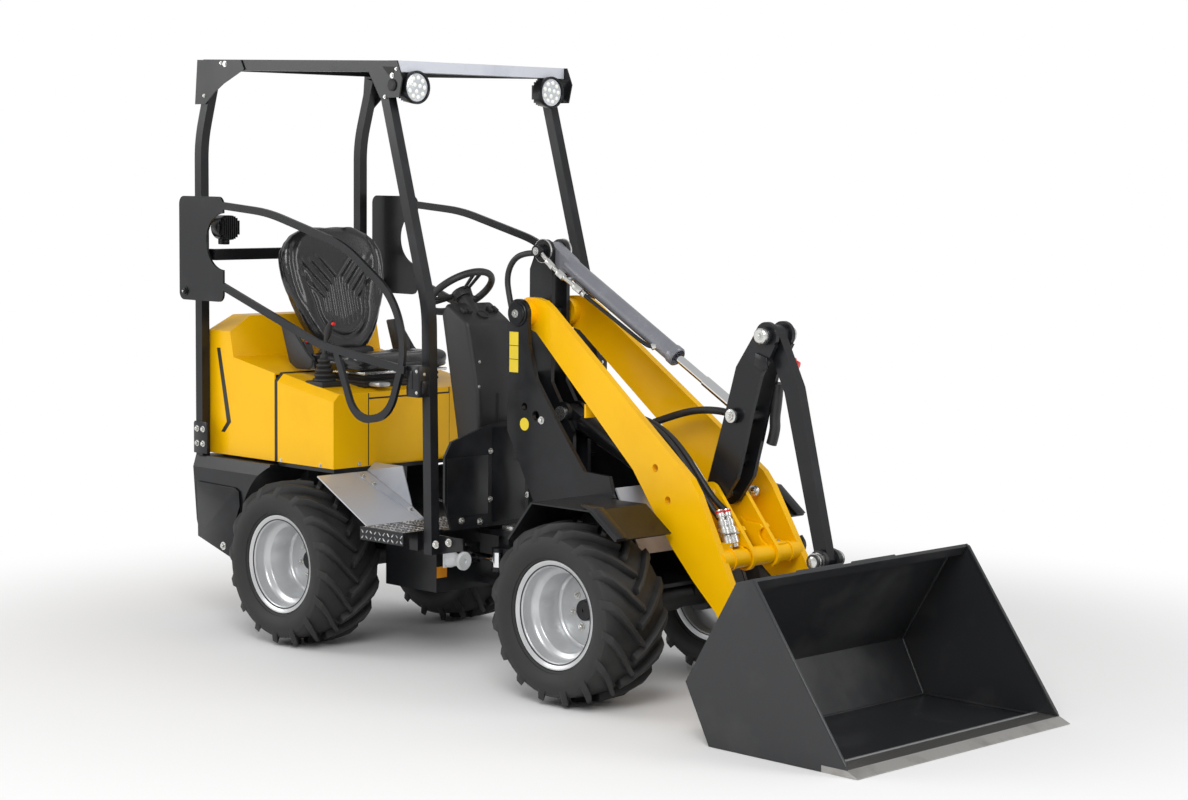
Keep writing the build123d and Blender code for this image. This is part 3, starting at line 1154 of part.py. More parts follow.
def barrel(base, tip, radius, bore_radius, start, end):
    """Cylinder tube, open at its front for the rod, with a flat eye at its base."""
    half = CYLINDER_EYE / 2
    eye = strap(base, along(base, tip, start + 4), EYE_RADIUS - 2, 24, -half, half)
    tube = rod(base, tip, radius, start, end)
    hole = rod(base, tip, bore_radius, start + BARREL_FLOOR, end + 1)
    return eye + tube - hole - cross_pin(base, PIN_RADIUS + RUNNING, -100, 100)


def tilt_pin():
    """Pin at the top of the column that carries the tilt cylinder."""
    edge = COLUMN_GAP / 2 + COLUMN_PLATE + 8
    pin = cross_pin(TILT_PIN, PIN_RADIUS, -edge - 6, edge + 6)
    swivel = cross_pin(TILT_PIN, SWIVEL_RADIUS, -TOWER_HOSE_Y - HOSE_RADIUS, -edge - 6)
    return pin + swivel + both_sides(cross_pin(TILT_PIN, PIN_RADIUS + 8, edge + SEAT_GAP, edge + 8))


def tilt_piston():
    """Ring inside the tilt barrel that the rod slides through."""
    start, end = TILT_PISTON
    ring = rod(TILT_PIN, TILT_ROD_PIN, TILT_SLEEVE_RADIUS, start, end)
    return ring - rod(TILT_PIN, TILT_ROD_PIN, TILT_ROD_RADIUS + RUNNING, start - 1, end + 1)


def tilt_rod():
    """Chromed rod with a black sleeve and an eye that floats between the crank's plates."""
    bar = rod(TILT_PIN, TILT_ROD_PIN, TILT_ROD_RADIUS, TILT_ROD_START, tilt_length - 10)
    sleeve = rod(TILT_PIN, TILT_ROD_PIN, TILT_SLEEVE_RADIUS, tilt_length - TILT_SLEEVE_LENGTH, tilt_length - 20)
    side = CRANK_INNER_Y - SEAT_GAP
    eye = cross_pin(TILT_ROD_PIN, EYE_RADIUS - 4, -side, side)
    return bar + sleeve + eye


def lift_rod():
    """Chromed rod with its eye between the boom's lugs."""
    bar = rod(LIFT_BASE, LIFT_ROD_PIN, LIFT_ROD_RADIUS, LIFT_ROD_START, lift_length - 10)
    side = LUG_Y - SEAT_GAP
    eye = cross_pin(LIFT_ROD_PIN, EYE_RADIUS, -CYLINDER_EYE / 2, CYLINDER_EYE / 2)
    return bar + eye + cross_pin(LIFT_ROD_PIN, PIN_RADIUS, -side, side)


def steer_barrel():
    """Steering cylinder tube on its vertical pin."""
    tube = flat_rod(STEER_BASE, STEER_EYE, STEER_BARREL_RADIUS, STEER_BARREL_START, STEER_BARREL_END, STEER_Z)
    eye = upright(STEER_BASE, 22, STEER_Z - 20, STEER_Z + 20)
    neck = flat_rod(STEER_BASE, STEER_EYE, 14, 10, STEER_BARREL_START + 2, STEER_Z)
    bore = STEER_ROD_RADIUS + CYLINDER_BORE_GAP
    hole = flat_rod(STEER_BASE, STEER_EYE, bore, STEER_BARREL_START + BARREL_FLOOR, STEER_BARREL_END + 1, STEER_Z)
    return tube + eye + neck - hole - upright(STEER_BASE, STEER_PIN_RADIUS + RUNNING, 0, 600)


def steer_rod():
    """Steering rod with its eye between the front lugs."""
    bar = flat_rod(STEER_BASE, STEER_EYE, STEER_ROD_RADIUS, STEER_ROD_START, steer_length - 8, STEER_Z)
    half = STEER_LUG_GAP / 2 - SEAT_GAP
    return bar + upright(STEER_EYE, 22, STEER_Z - half, STEER_Z + half)


save("tilt_pin", tilt_pin())
tilt_bore = TILT_SLEEVE_RADIUS + CYLINDER_BORE_GAP
lift_bore = LIFT_ROD_RADIUS + CYLINDER_BORE_GAP
tilt_tube = barrel(TILT_PIN, TILT_ROD_PIN, TILT_BARREL_RADIUS, tilt_bore, TILT_BARREL_START, TILT_BARREL_END)
lift_tube = barrel(LIFT_BASE, LIFT_ROD_PIN, LIFT_BARREL_RADIUS, lift_bore, LIFT_BARREL_START, LIFT_BARREL_END)
save("tilt_barrel", tilt_tube)
save("tilt_piston", tilt_piston())
save("tilt_rod", tilt_rod())
save("lift_barrel", lift_tube)
save("lift_rod", lift_rod())
save("steer_barrel", steer_barrel())
save("steer_rod", steer_rod())
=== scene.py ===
import math

import bmesh
import bpy
from mathutils import Matrix, Vector


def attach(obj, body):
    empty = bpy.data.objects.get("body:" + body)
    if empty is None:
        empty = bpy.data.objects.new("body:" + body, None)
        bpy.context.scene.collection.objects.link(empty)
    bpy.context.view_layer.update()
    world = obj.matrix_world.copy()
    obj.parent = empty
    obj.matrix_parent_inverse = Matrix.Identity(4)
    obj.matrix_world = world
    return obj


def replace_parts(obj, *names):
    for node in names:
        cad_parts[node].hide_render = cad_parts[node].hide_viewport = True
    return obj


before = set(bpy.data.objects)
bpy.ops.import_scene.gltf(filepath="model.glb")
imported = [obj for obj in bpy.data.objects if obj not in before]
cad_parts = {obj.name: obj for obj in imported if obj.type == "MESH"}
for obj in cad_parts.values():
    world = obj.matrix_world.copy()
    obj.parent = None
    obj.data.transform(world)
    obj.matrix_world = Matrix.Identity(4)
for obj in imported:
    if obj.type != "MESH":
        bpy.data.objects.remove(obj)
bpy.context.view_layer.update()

# Camera, at the place the photograph of the loader was taken from: about twelve
# paces off its right front corner, at the height of a standing person's chest.
TURN, RISE, ROLL = 0.780235, 0.0921577, 0.00884375
PHOTO_WIDTH, FOCAL_PIXELS, SENSOR = 1188, 2517.67, 36.0
back = Vector((math.sin(TURN) * math.cos(RISE), -math.cos(TURN) * math.cos(RISE), math.sin(RISE)))
level = (-back).cross(Vector((0, 0, 1))).normalized()
over = level.cross(-back)
right = math.cos(ROLL) * level + math.sin(ROLL) * over
upward = -math.sin(ROLL) * level + math.cos(ROLL) * over
camera_data = bpy.data.cameras.new("camera")
camera_data.sensor_width = SENSOR
camera_data.lens = SENSOR * FOCAL_PIXELS / PHOTO_WIDTH
camera_data.clip_end = 60
camera = bpy.data.objects.new("camera", camera_data)
bpy.context.collection.objects.link(camera)
facing = Matrix((right, upward, back)).transposed().to_4x4()
camera.matrix_world = Matrix.Translation((5.8762, -5.8427, 1.6675)) @ facing
bpy.context.scene.camera = camera
bpy.context.scene.view_settings.view_transform = "Standard"


# Floor and light: a pale seamless studio floor under an even white sky, with two
# large soft boxes that shape the panels and keep a weak shadow under the wheels.
def add(tree, kind, values=(), **settings):
    """A new shader node with its settings and input values."""
    fresh = tree.nodes.new("ShaderNode" + kind)
    for label, setting in settings.items():
        setattr(fresh, label, setting)
    for label, value in values:
        fresh.inputs[label].default_value = value
    return fresh


def wire(tree, *links):
    """Joins pairs of sockets."""
    for start, end in links:
        tree.links.new(start, end)


studio = bpy.data.materials.new("studio_floor")
studio.use_nodes = True
tree = studio.node_tree
floor_shader = tree.nodes["Principled BSDF"]
floor_shader.inputs["Base Color"].default_value = (0.9, 0.9, 0.9, 1)
floor_shader.inputs["Roughness"].default_value = 0.9
floor_shader.inputs["Specular IOR Level"].default_value = 0.1
spot = add(tree, "TexCoord")
distance = add(tree, "VectorMath", operation="LENGTH")
fade = add(tree, "MapRange", (("From Min", 1.7), ("From Max", 3.4)), interpolation_type="SMOOTHSTEP")
looks = add(tree, "LightPath")
glare = add(tree, "Emission", (("Color", (1, 1, 1, 1)), ("Strength", 1.0)))
bright = add(tree, "MixShader")
direct = add(tree, "Math", operation="MAXIMUM")
direct_glossy = add(tree, "Math", operation="MAXIMUM")
factor = add(tree, "Math", operation="MULTIPLY")
wire(
    tree,
    (spot.outputs["Object"], distance.inputs[0]), (distance.outputs["Value"], fade.inputs["Value"]),
    (looks.outputs["Is Camera Ray"], direct.inputs[0]), (looks.outputs["Is Transmission Ray"], direct.inputs[1]),
    (direct.outputs[0], direct_glossy.inputs[0]), (looks.outputs["Is Glossy Ray"], direct_glossy.inputs[1]),
    (direct_glossy.outputs[0], factor.inputs[0]), (fade.outputs["Result"], factor.inputs[1]),
    (factor.outputs[0], bright.inputs["Fac"]), (floor_shader.outputs[0], bright.inputs[1]),
    (glare.outputs[0], bright.inputs[2]), (bright.outputs[0], tree.nodes["Material Output"].inputs["Surface"]),
)
floor_mesh = bpy.data.meshes.new("studio_floor")
sheet = bmesh.new()
bmesh.ops.create_grid(sheet, x_segments=1, y_segments=1, size=40)
sheet.to_mesh(floor_mesh)
sheet.free()
floor_mesh.materials.append(studio)
studio_floor = bpy.data.objects.new("studio_floor", floor_mesh)
bpy.context.collection.objects.link(studio_floor)

sky = bpy.data.worlds.new("studio_sky")
sky.use_nodes = True
bpy.context.scene.world = sky
tree = sky.node_tree
sky_light = tree.nodes["Background"]
sky_light.inputs["Color"].default_value = (1, 1, 1, 1)
sky_light.inputs["Strength"].default_value = 0.55
seen = add(tree, "Background", (("Color", (1, 1, 1, 1)), ("Strength", 1.0)))
rays = add(tree, "LightPath")
mirrored = add(tree, "Math", operation="MAXIMUM")
choice = add(tree, "MixShader")
wire(
    tree,
    (rays.outputs["Is Camera Ray"], mirrored.inputs[0]), (rays.outputs["Is Transmission Ray"], mirrored.inputs[1]),
    (mirrored.outputs[0], choice.inputs["Fac"]), (sky_light.outputs[0], choice.inputs[1]),
    (seen.outputs[0], choice.inputs[2]), (choice.outputs[0], tree.nodes["World Output"].inputs["Surface"]),
)

for name, place, size, watts in (
    ("key_box", (3.5, -4.5, 5.0), 3.2, 230),
    ("side_box", (-4.5, -4.0, 3.2), 3.0, 90),
    ("front_box", (5.5, 2.5, 3.4), 2.6, 80),
):
    lamp_data = bpy.data.lights.new(name, "AREA")
    lamp_data.size = size
    lamp_data.energy = watts
    lamp = bpy.data.objects.new(name, lamp_data)
    bpy.context.collection.objects.link(lamp)
    lamp.location = place
    lamp.rotation_euler = (Vector((0, 0, 0.8)) - Vector(place)).to_track_quat("-Z", "Y").to_euler()


# Painted steel of the chassis, arms and posts, with the other finishes that the
# machined parts have. Paint has a fine orange peel, dull patches and a little dust.
def effect(name, inputs, outputs):
    group = bpy.data.node_groups.new(name, "ShaderNodeTree")
    for label, value in inputs:
        group.interface.new_socket(label, in_out="INPUT", socket_type="NodeSocketFloat").default_value = value
    for label in outputs:
        group.interface.new_socket(label, in_out="OUTPUT", socket_type="NodeSocketFloat")
    return group, group.nodes.new("NodeGroupInput"), group.nodes.new("NodeGroupOutput")


patches, entry, leave = effect("patches", (("Scale", 5.0), ("Low", 0.4), ("High", 0.65)), ("Mask",))
place = add(patches, "TexCoord")
cloud = add(patches, "TexNoise", (("Detail", 6), ("Roughness", 0.6)))
reach = add(patches, "MapRange")
wire(
    patches,
    (place.outputs["Object"], cloud.inputs["Vector"]), (entry.outputs["Scale"], cloud.inputs["Scale"]),
    (cloud.outputs["Fac"], reach.inputs["Value"]), (entry.outputs["Low"], reach.inputs["From Min"]),
    (entry.outputs["High"], reach.inputs["From Max"]), (reach.outputs["Result"], leave.inputs["Mask"]),
)

grain, entry, leave = effect("grain", (("Scale", 300.0), ("Fine", 0.4)), ("Height",))
place = add(grain, "TexCoord")
pebble = add(grain, "TexVoronoi", feature="SMOOTH_F1")
speck = add(grain, "TexNoise", (("Detail", 3),))
both = add(grain, "Mix")
for grain_map in (pebble, speck):
    wire(
        grain, (place.outputs["Object"], grain_map.inputs["Vector"]),
        (entry.outputs["Scale"], grain_map.inputs["Scale"]),
    )
wire(
    grain,
    (entry.outputs["Fine"], both.inputs["Factor"]), (pebble.outputs["Distance"], both.inputs["A"]),
    (speck.outputs["Fac"], both.inputs["B"]), (both.outputs["Result"], leave.inputs["Height"]),
)


def finish_of(
    name, colour, worn, rough, dull, metal=0.0, coat=0.0, scale=260.0, fine=1.0, relief=0.12, patch=5.0,
    wear=(0.5, 0.72),
):
    """A finish whose colour and roughness shift in soft patches over a fine grain."""
    made = bpy.data.materials.new(name)
    made.use_nodes = True
    tree = made.node_tree
    shader = tree.nodes["Principled BSDF"]
    shader.inputs["Metallic"].default_value = metal
    shader.inputs["Coat Weight"].default_value = coat
    shader.inputs["Coat Roughness"].default_value = 0.12
    mask = add(tree, "Group", node_tree=patches)
    mask.inputs["Scale"].default_value = patch
    mask.inputs["Low"].default_value, mask.inputs["High"].default_value = wear
    tint = add(tree, "Mix", data_type="RGBA")
    tint.inputs["A"].default_value = (*colour, 1)
    tint.inputs["B"].default_value = (*worn, 1)
    gloss = add(tree, "MapRange", (("To Min", rough), ("To Max", dull)))
    texture = add(tree, "Group", node_tree=grain)
    texture.inputs["Scale"].default_value = scale
    texture.inputs["Fine"].default_value = fine
    bump = add(tree, "Bump", (("Strength", relief), ("Distance", 0.0006)))
    wire(
        tree,
        (mask.outputs["Mask"], tint.inputs["Factor"]), (mask.outputs["Mask"], gloss.inputs["Value"]),
        (tint.outputs["Result"], shader.inputs["Base Color"]), (gloss.outputs["Result"], shader.inputs["Roughness"]),
        (texture.outputs["Height"], bump.inputs["Height"]), (bump.outputs["Normal"], shader.inputs["Normal"]),
    )
    return made


black_paint = finish_of(
    "black_paint", (0.009, 0.0095, 0.011), (0.018, 0.019, 0.022), 0.3, 0.44, coat=0.12, relief=0.2,
)
yellow_paint = finish_of("yellow_paint", (0.98, 0.53, 0.0), (0.94, 0.49, 0.0), 0.28, 0.38, coat=0.12, relief=0.1)
yellow_paint.node_tree.nodes["Principled BSDF"].inputs["Specular IOR Level"].default_value = 0.22
black_paint.node_tree.nodes["Principled BSDF"].inputs["Specular IOR Level"].default_value = 0.3
grey_paint = finish_of("grey_paint", (0.56, 0.58, 0.63), (0.42, 0.44, 0.48), 0.28, 0.44, metal=0.45, relief=0.12)
silver_paint = finish_of("silver_paint", (0.62, 0.63, 0.64), (0.5, 0.51, 0.52), 0.3, 0.42, metal=0.55, relief=0.12)
casting = finish_of("casting", (0.016, 0.017, 0.018), (0.028, 0.029, 0.031), 0.45, 0.62, scale=120, relief=0.55)
bucket_paint = finish_of(
    "bucket_paint", (0.02, 0.021, 0.023), (0.05, 0.05, 0.051), 0.34, 0.55, coat=0.1, relief=0.2, patch=3.2,
    wear=(0.52, 0.8),
)
bare_steel = finish_of(
    "bare_steel", (0.5, 0.49, 0.47), (0.33, 0.31, 0.29), 0.28, 0.45, metal=0.9, scale=420, relief=0.2,
)
zinc = finish_of("zinc", (0.72, 0.72, 0.7), (0.55, 0.54, 0.5), 0.24, 0.38, metal=0.9, patch=30, relief=0.1)
chrome = finish_of("chrome", (0.8, 0.81, 0.82), (0.74, 0.75, 0.76), 0.07, 0.13, metal=1.0, relief=0.02)
# Tilt barrel: glossy black paint whose base colour and lighter patches are lifted to a blue-grey as a painted
# reflection of the bright sky.
barrel_painted_sheen = finish_of("barrel_painted_sheen", (0.17, 0.175, 0.2), (0.22, 0.225, 0.25), 0.24, 0.34, coat=0.4, relief=0.12)
rubber = finish_of(
    "rubber", (0.017, 0.017, 0.017), (0.03, 0.029, 0.028), 0.6, 0.82, scale=200, fine=0.7, relief=0.35, patch=9,
)
moulding = finish_of(
    "moulding", (0.02, 0.02, 0.021), (0.028, 0.028, 0.029), 0.48, 0.6, scale=650, fine=0.25, relief=0.6,
)
vinyl = finish_of(
    "vinyl", (0.013, 0.013, 0.014), (0.02, 0.02, 0.021), 0.22, 0.32, coat=0.35, scale=480, fine=0.15, relief=0.22,
)

CAD_FINISHES = {
    "counterweight": black_paint, "engine": casting, "rear_axle": casting, "front_axle": casting,
    "hood": yellow_paint, "seat_box": yellow_paint, "boom": yellow_paint,
    "heel_panels": grey_paint, "nose_panel": grey_paint, "floor_plate": black_paint,
    "bucket": bucket_paint, "hitch": bucket_paint, "cutting_edge": bare_steel,
    "console": moulding, "steering_wheel": moulding, "joystick": rubber, "seat_base": rubber,
    "seat_cushion": vinyl, "seat_back": vinyl, "seat_brackets": moulding,
    # The tilt barrel's finish carries a painted sky reflection in its colour.
    "tilt_barrel": barrel_painted_sheen, "lift_barrel": black_paint, "steer_barrel": black_paint,
    "tilt_rod": chrome, "lift_rod": chrome, "steer_rod": chrome, "tilt_piston": bare_steel,
    "boom_pin": black_paint, "lift_base_pin": zinc, "crank_pin": zinc, "link_pin": zinc, "hitch_pins": zinc,
    "tilt_pin": black_paint, "joint_pin": zinc,
}
for node_name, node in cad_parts.items():
    finish = CAD_FINISHES.get(node_name, black_paint)
    if node_name.startswith("rim_"):
        finish = silver_paint
    if node_name.startswith("tyre_"):
        finish = rubber
    node.data.materials.clear()
    node.data.materials.append(finish)


# Hoses: rubber hydraulic hose of 20 mm. One rises behind the tower and arches over to
# the swivel at its head, one runs along the right arm's inside down to the coupler.
TOWER_HOSE = (
    (0.802, -0.07, 0.8125), (0.802, -0.07, 0.930), (0.788, -0.07, 1.040), (0.758, -0.07, 1.150),
    (0.732, -0.07, 1.232), (0.718, -0.07, 1.298), (0.742, -0.07, 1.352), (0.792, -0.07, 1.381),
    (0.8465, -0.07, 1.384),
)
BOOM_HOSE = (
    (1.1515, -0.072, 0.885), (1.230, -0.080, 0.884), (1.340, -0.090, 0.876), (1.450, -0.103, 0.848),
    (1.545, -0.117, 0.790), (1.625, -0.126, 0.712), (1.690, -0.127, 0.640), (1.738, -0.127, 0.597),
)
HOSE_DIAMETER = 0.020
hose_cover = finish_of(
    "hose_cover", (0.018, 0.018, 0.019), (0.032, 0.032, 0.033), 0.42, 0.6, scale=900, fine=0.5, relief=0.3, patch=14,
)


def rubber_hose(name, route, body, node_name):
    """A smooth line through the route's points, with the hose's round section."""
    curve = bpy.data.curves.new(name, "CURVE")
    curve.dimensions = "3D"
    curve.bevel_depth = HOSE_DIAMETER / 2
    curve.bevel_resolution = 7
    curve.resolution_u = 10
    curve.use_fill_caps = True
    line = curve.splines.new("NURBS")
    line.points.add(len(route) - 1)
    for knot, (x, y, z) in zip(line.points, route):
        knot.co = (x - 0.9705, y, z, 1)
    line.order_u = 3
    line.use_endpoint_u = True
    curve.materials.append(hose_cover)
    hose = bpy.data.objects.new(name, curve)
    bpy.context.collection.objects.link(hose)
    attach(hose, body)
    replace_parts(hose, node_name)
    x, y, z = route[0]


rubber_hose("arched_hose", TOWER_HOSE, "front", "tower_hose")
rubber_hose("arm_hose", BOOM_HOSE, "boom", "boom_hose")


# Tyres: 23 x 10.50-12 tractor pattern rubber. A smooth carcass carries sixteen
# chevron lugs a side, moulded in one with it, whose points meet the ground first.
MIDDLE_X = 970.5
TYRE_RADIUS = 288.0
AXLES = {"rear": 0.0, "front": 1359.0}
SIDES = {"left": 359.5, "right": -359.5}
LUGS, LUG_SWEEP = 16, 27.0
CARCASS = (
    (-103, 152.6), (-103.4, 171.6), (-110, 174), (-113, 180), (-117, 181), (-127, 196), (-132.5, 214), (-132.5, 230),
    (-127, 246), (-112, 256), (-60, 262), (0, 264), (60, 262), (112, 256), (127, 246), (132.5, 230), (132.5, 214),
    (127, 196), (117, 181), (113, 180), (110, 174), (103.4, 171.6), (103, 152.6),
)


def made(shape, name, finish, body, slot=None, sharp=35.0, place=None):
    """Turns a shape modelled in millimetres from the rear axle into a piece of the loader."""
    bmesh.ops.recalc_face_normals(shape, faces=shape.faces)
    if place:
        bmesh.ops.translate(shape, verts=shape.verts, vec=place)
    bmesh.ops.translate(shape, verts=shape.verts, vec=(-MIDDLE_X, 0, 0))
    bmesh.ops.scale(shape, verts=shape.verts, vec=(0.001, 0.001, 0.001))
    mesh = bpy.data.meshes.new(name)
    shape.to_mesh(mesh)
    shape.free()
    mesh.materials.append(finish)
    mesh.polygons.foreach_set("use_smooth", [True] * len(mesh.polygons))
    mesh.set_sharp_from_angle(angle=math.radians(sharp))
    piece = bpy.data.objects.new(name, mesh)
    bpy.context.collection.objects.link(piece)
    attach(piece, body)
    return piece


def loop_of(shape, points, closed=True):
    """A ring or line of edges through a few points."""
    corners = [shape.verts.new(point) for point in points]
    pairs = zip(corners, corners[1:] + corners[:1]) if closed else zip(corners, corners[1:])
    return corners, [shape.edges.new(pair) for pair in pairs]


def turned(shape, profile, axis=(0, 1, 0), centre=(0, 0, 0), steps=64, closed=True):
    """Spins a profile of (distance along the axis, radius) pairs into a ring or a cap."""
    axis = Vector(axis).normalized()
    out = axis.orthogonal().normalized()
    points = [Vector(centre) + axis * along + out * radius for along, radius in profile]
    corners, edges = loop_of(shape, points, closed)
    bmesh.ops.spin(
        shape, geom=corners + edges, cent=centre, axis=axis, angle=2 * math.pi, steps=steps, use_merge=True,
    )
    bmesh.ops.remove_doubles(shape, verts=shape.verts, dist=0.002)


def add_lug(shape, side):
    """One chevron bar, from just past the crown to the buttress on the shoulder."""
    rings = []
    for across, top, base, half in (
        (-9, 287.6, 257, 9), (24, 287.8, 257, 9.5), (62, 286.6, 256, 10.5), (98, 283.5, 252, 12),
        (119, 272, 240, 13), (131.5, 244, 226, 12),
    ):
        turn = -math.radians(LUG_SWEEP) * max(across, 0) ** 0.94 / 118 ** 0.94
        ring = []
        for radius, spread in ((base, -1.5), (top, -1.0), (top, 1.0), (base, 1.5)):
            angle = turn + spread * half / radius
            ring.append((radius * math.sin(angle), side * across, radius * math.cos(angle)))
        rings.append(loop_of(shape, ring))
    faces = []
    for (_, first), (_, second) in zip(rings, rings[1:]):
        faces += bmesh.ops.bridge_loops(shape, edges=first + second)["faces"]
    for _, ring_edges in (rings[0], rings[-1]):
        faces += bmesh.ops.holes_fill(shape, edges=ring_edges, sides=4)["faces"]
    bmesh.ops.recalc_face_normals(shape, faces=faces)
    long_edges = [edge for edge in {e for f in faces for e in f.edges} if edge.calc_face_angle(0) > 0.5]
    bmesh.ops.bevel(shape, geom=long_edges, offset=2.2, segments=2, profile=0.5, affect="EDGES", material=-1)


def corners_of(items):
    return [item for item in items if isinstance(item, bmesh.types.BMVert)]


lugs = bmesh.new()
add_lug(lugs, 1)
half_turn = bmesh.ops.duplicate(lugs, geom=lugs.verts[:] + lugs.edges[:] + lugs.faces[:])["geom"]
mirrored_lug = corners_of(half_turn)
bmesh.ops.scale(lugs, verts=mirrored_lug, vec=(1, -1, 1))
bmesh.ops.reverse_faces(lugs, faces=[item for item in half_turn if isinstance(item, bmesh.types.BMFace)])
bmesh.ops.rotate(lugs, verts=mirrored_lug, cent=(0, 0, 0), matrix=Matrix.Rotation(math.pi / LUGS, 3, "Y"))
pair = lugs.verts[:] + lugs.edges[:] + lugs.faces[:]
for count in range(1, LUGS):
    copy = bmesh.ops.duplicate(lugs, geom=pair)["geom"]
    turn = Matrix.Rotation(2 * math.pi * count / LUGS, 3, "Y")
    bmesh.ops.rotate(lugs, verts=corners_of(copy), cent=(0, 0, 0), matrix=turn)
turned(lugs, CARCASS, steps=72)
tyre_mesh = bpy.data.meshes.new("tyre_form")
lugs.to_mesh(tyre_mesh)
lugs.free()

# Wheels: pressed silver rims with a deep dish, welded disc and six studs each,
# and the black end of the axle hub standing through the middle.
RIM_PROFILE = (
    (103.6, 171.0), (108.2, 170.6), (108.4, 168.6), (105.5, 164.0), (102.5, 155.0), (97, 149.0), (66, 147.4),
    (60, 145.4), (54, 138.0), (51, 127.5), (48, 125.2), (-30, 125.0), (-38, 121.5), (-41, 116.5), (-38, 112.0),
    (-36.2, 106.0), (-35.4, 60.0), (-35.2, 34.0), (-45, 34.0), (-46, 104.0), (-50, 124.8), (-62, 146.8), (-100, 149.0),
    (-108.2, 168.0), (-108.2, 171.0), (-103.6, 171.0), (-101.6, 152.2), (-60, 152.0), (-48, 130.0), (48, 130.0),
    (60, 152.0), (101.6, 152.2),
)
HUB_PROFILE = ((-67, 0), (-67, 54), (-47, 54), (-46, 33), (-24, 33), (-21.5, 30.5), (-21.5, 6), (-24, 5), (-24, 0))


def add_bolt(shape, centre, axis, width, height, washer=1.45):
    """A hexagon head on its washer, with the thread's end standing out of it."""
    turn = Vector(axis).to_track_quat("Z", "Y").to_matrix().to_4x4()
    for radius, low, high, sides in (
        (width * washer / 2, 0, height * 0.22, 24), (width / 2, height * 0.22, height, 6),
        (width * 0.26, height, height * 1.25, 12),
    ):
        spot = Matrix.Translation(centre) @ turn @ Matrix.Translation((0, 0, (low + high) / 2))
        bmesh.ops.create_cone(
            shape, cap_ends=True, segments=sides, radius1=radius, radius2=radius * 0.97, depth=high - low,
            matrix=spot,
        )


def bolts(name, body, spots, place=None):
    """A piece of plated bolts, each given by its place, facing, width, height and washer."""
    heads = bmesh.new()
    for spot in spots:
        add_bolt(heads, *spot)
    made(heads, name, zinc, body, place=place)


for axle, axle_x in AXLES.items():
    for side, wheel_y in SIDES.items():
        outward = 1 if wheel_y > 0 else -1
        hub_place = (axle_x, wheel_y, TYRE_RADIUS)
        body = f"wheel_{axle}_{side}"
        cover = bmesh.new()
        cover.from_mesh(tyre_mesh)
        bmesh.ops.rotate(
            cover, verts=cover.verts, cent=(0, 0, 0),
            matrix=Matrix.Rotation(0.11 * axle_x / 1359 + 0.07 * outward, 3, "Y"),
        )
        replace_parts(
            made(cover, f"lugged_tyre_{axle}_{side}", rubber, body, "tyre_rubber", sharp=32, place=hub_place),
            f"tyre_{axle}_{side}",
        )
        wheel = bmesh.new()
        turned(wheel, [(outward * along, radius) for along, radius in RIM_PROFILE], steps=80)
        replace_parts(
            made(wheel, f"dished_rim_{axle}_{side}", silver_paint, body, sharp=40, place=hub_place),
            f"rim_{axle}_{side}",
        )
        angles = [math.radians(60 * count + 18) for count in range(6)]
        bolts(f"wheel_studs_{axle}_{side}", body, [
            ((57 * math.sin(angle), -35.3 * outward, 57 * math.cos(angle)), (0, outward, 0), 17, 11, 1.5)
            for angle in angles
        ], place=hub_place)
        hub = bmesh.new()
        turned(hub, [(outward * along, radius) for along, radius in HUB_PROFILE], closed=False, steps=48)
        made(hub, f"hub_end_{axle}_{side}", black_paint, body, place=hub_place)
        valve = bmesh.new()
        turned(
            valve, ((0, 0), (0, 5), (4, 5), (5, 3.6), (30, 3.2), (31, 0)), axis=(0.2, outward * 0.95, 0.15),
            centre=(60, -30 * outward, 96), closed=False, steps=16,
        )
        made(valve, f"valve_{axle}_{side}", rubber, body, place=hub_place)


# Seat: a moulded foam cushion and backrest under black grained vinyl, on a sprung
# base in a rubber bellows, with a bare steel rail and a lever at the front.
BACK_FOOT, BACK_LEAN = Vector((-185, 0, 1032)), math.radians(12)
BACK_HALF_WIDTHS = (
    (-42, 62), (-25, 98), (0, 126), (40, 155), (90, 182), (160, 213), (235, 234), (300, 240), (350, 228),
    (390, 198), (415, 162), (433, 105),
)


def between(table, value):
    """A value read off a table of pairs."""
    for (low, first), (high, second) in zip(table, table[1:]):
        if value <= high:
            return first + (second - first) * (value - low) / (high - low)
    return table[-1][1]


def groove(distance, width, depth):
    return -depth * math.exp(-((distance / width) ** 2))


def swell(piece, reach, pressure=2.0, voxel=0.005):
    """Blows the vinyl out over its foam, no further than reach, then draws it smooth."""
    remesh = piece.modifiers.new("skin", "REMESH")
    remesh.mode = "VOXEL"
    remesh.voxel_size = voxel
    bpy.context.view_layer.objects.active = piece
    still = bpy.data.meshes.new_from_object(piece.evaluated_get(bpy.context.evaluated_depsgraph_get()))
    piece.modifiers.clear()
    piece.data = still
    start = [corner.co.copy() for corner in still.vertices]
    cloth = piece.modifiers.new("stuffing", "CLOTH")
    cloth.settings.use_pressure = True
    cloth.settings.uniform_pressure_force = pressure
    cloth.settings.tension_stiffness = cloth.settings.compression_stiffness = 40
    cloth.settings.effector_weights.gravity = 0
    for step in range(1, 21):
        bpy.context.scene.frame_set(step)
    blown = bpy.data.meshes.new_from_object(piece.evaluated_get(bpy.context.evaluated_depsgraph_get()))
    piece.modifiers.clear()
    piece.data = blown
    for corner, home in zip(blown.vertices, start):
        move = corner.co - home
        if move.length > reach:
            corner.co = home + move * (reach / move.length)
    bpy.context.scene.frame_set(1)
    calm = bmesh.new()
    calm.from_mesh(piece.data)
    for step in range(7):
        bmesh.ops.smooth_vert(calm, verts=calm.verts, factor=0.5, use_axis_x=True, use_axis_y=True, use_axis_z=True)
    calm.to_mesh(piece.data)
    calm.free()
    return piece


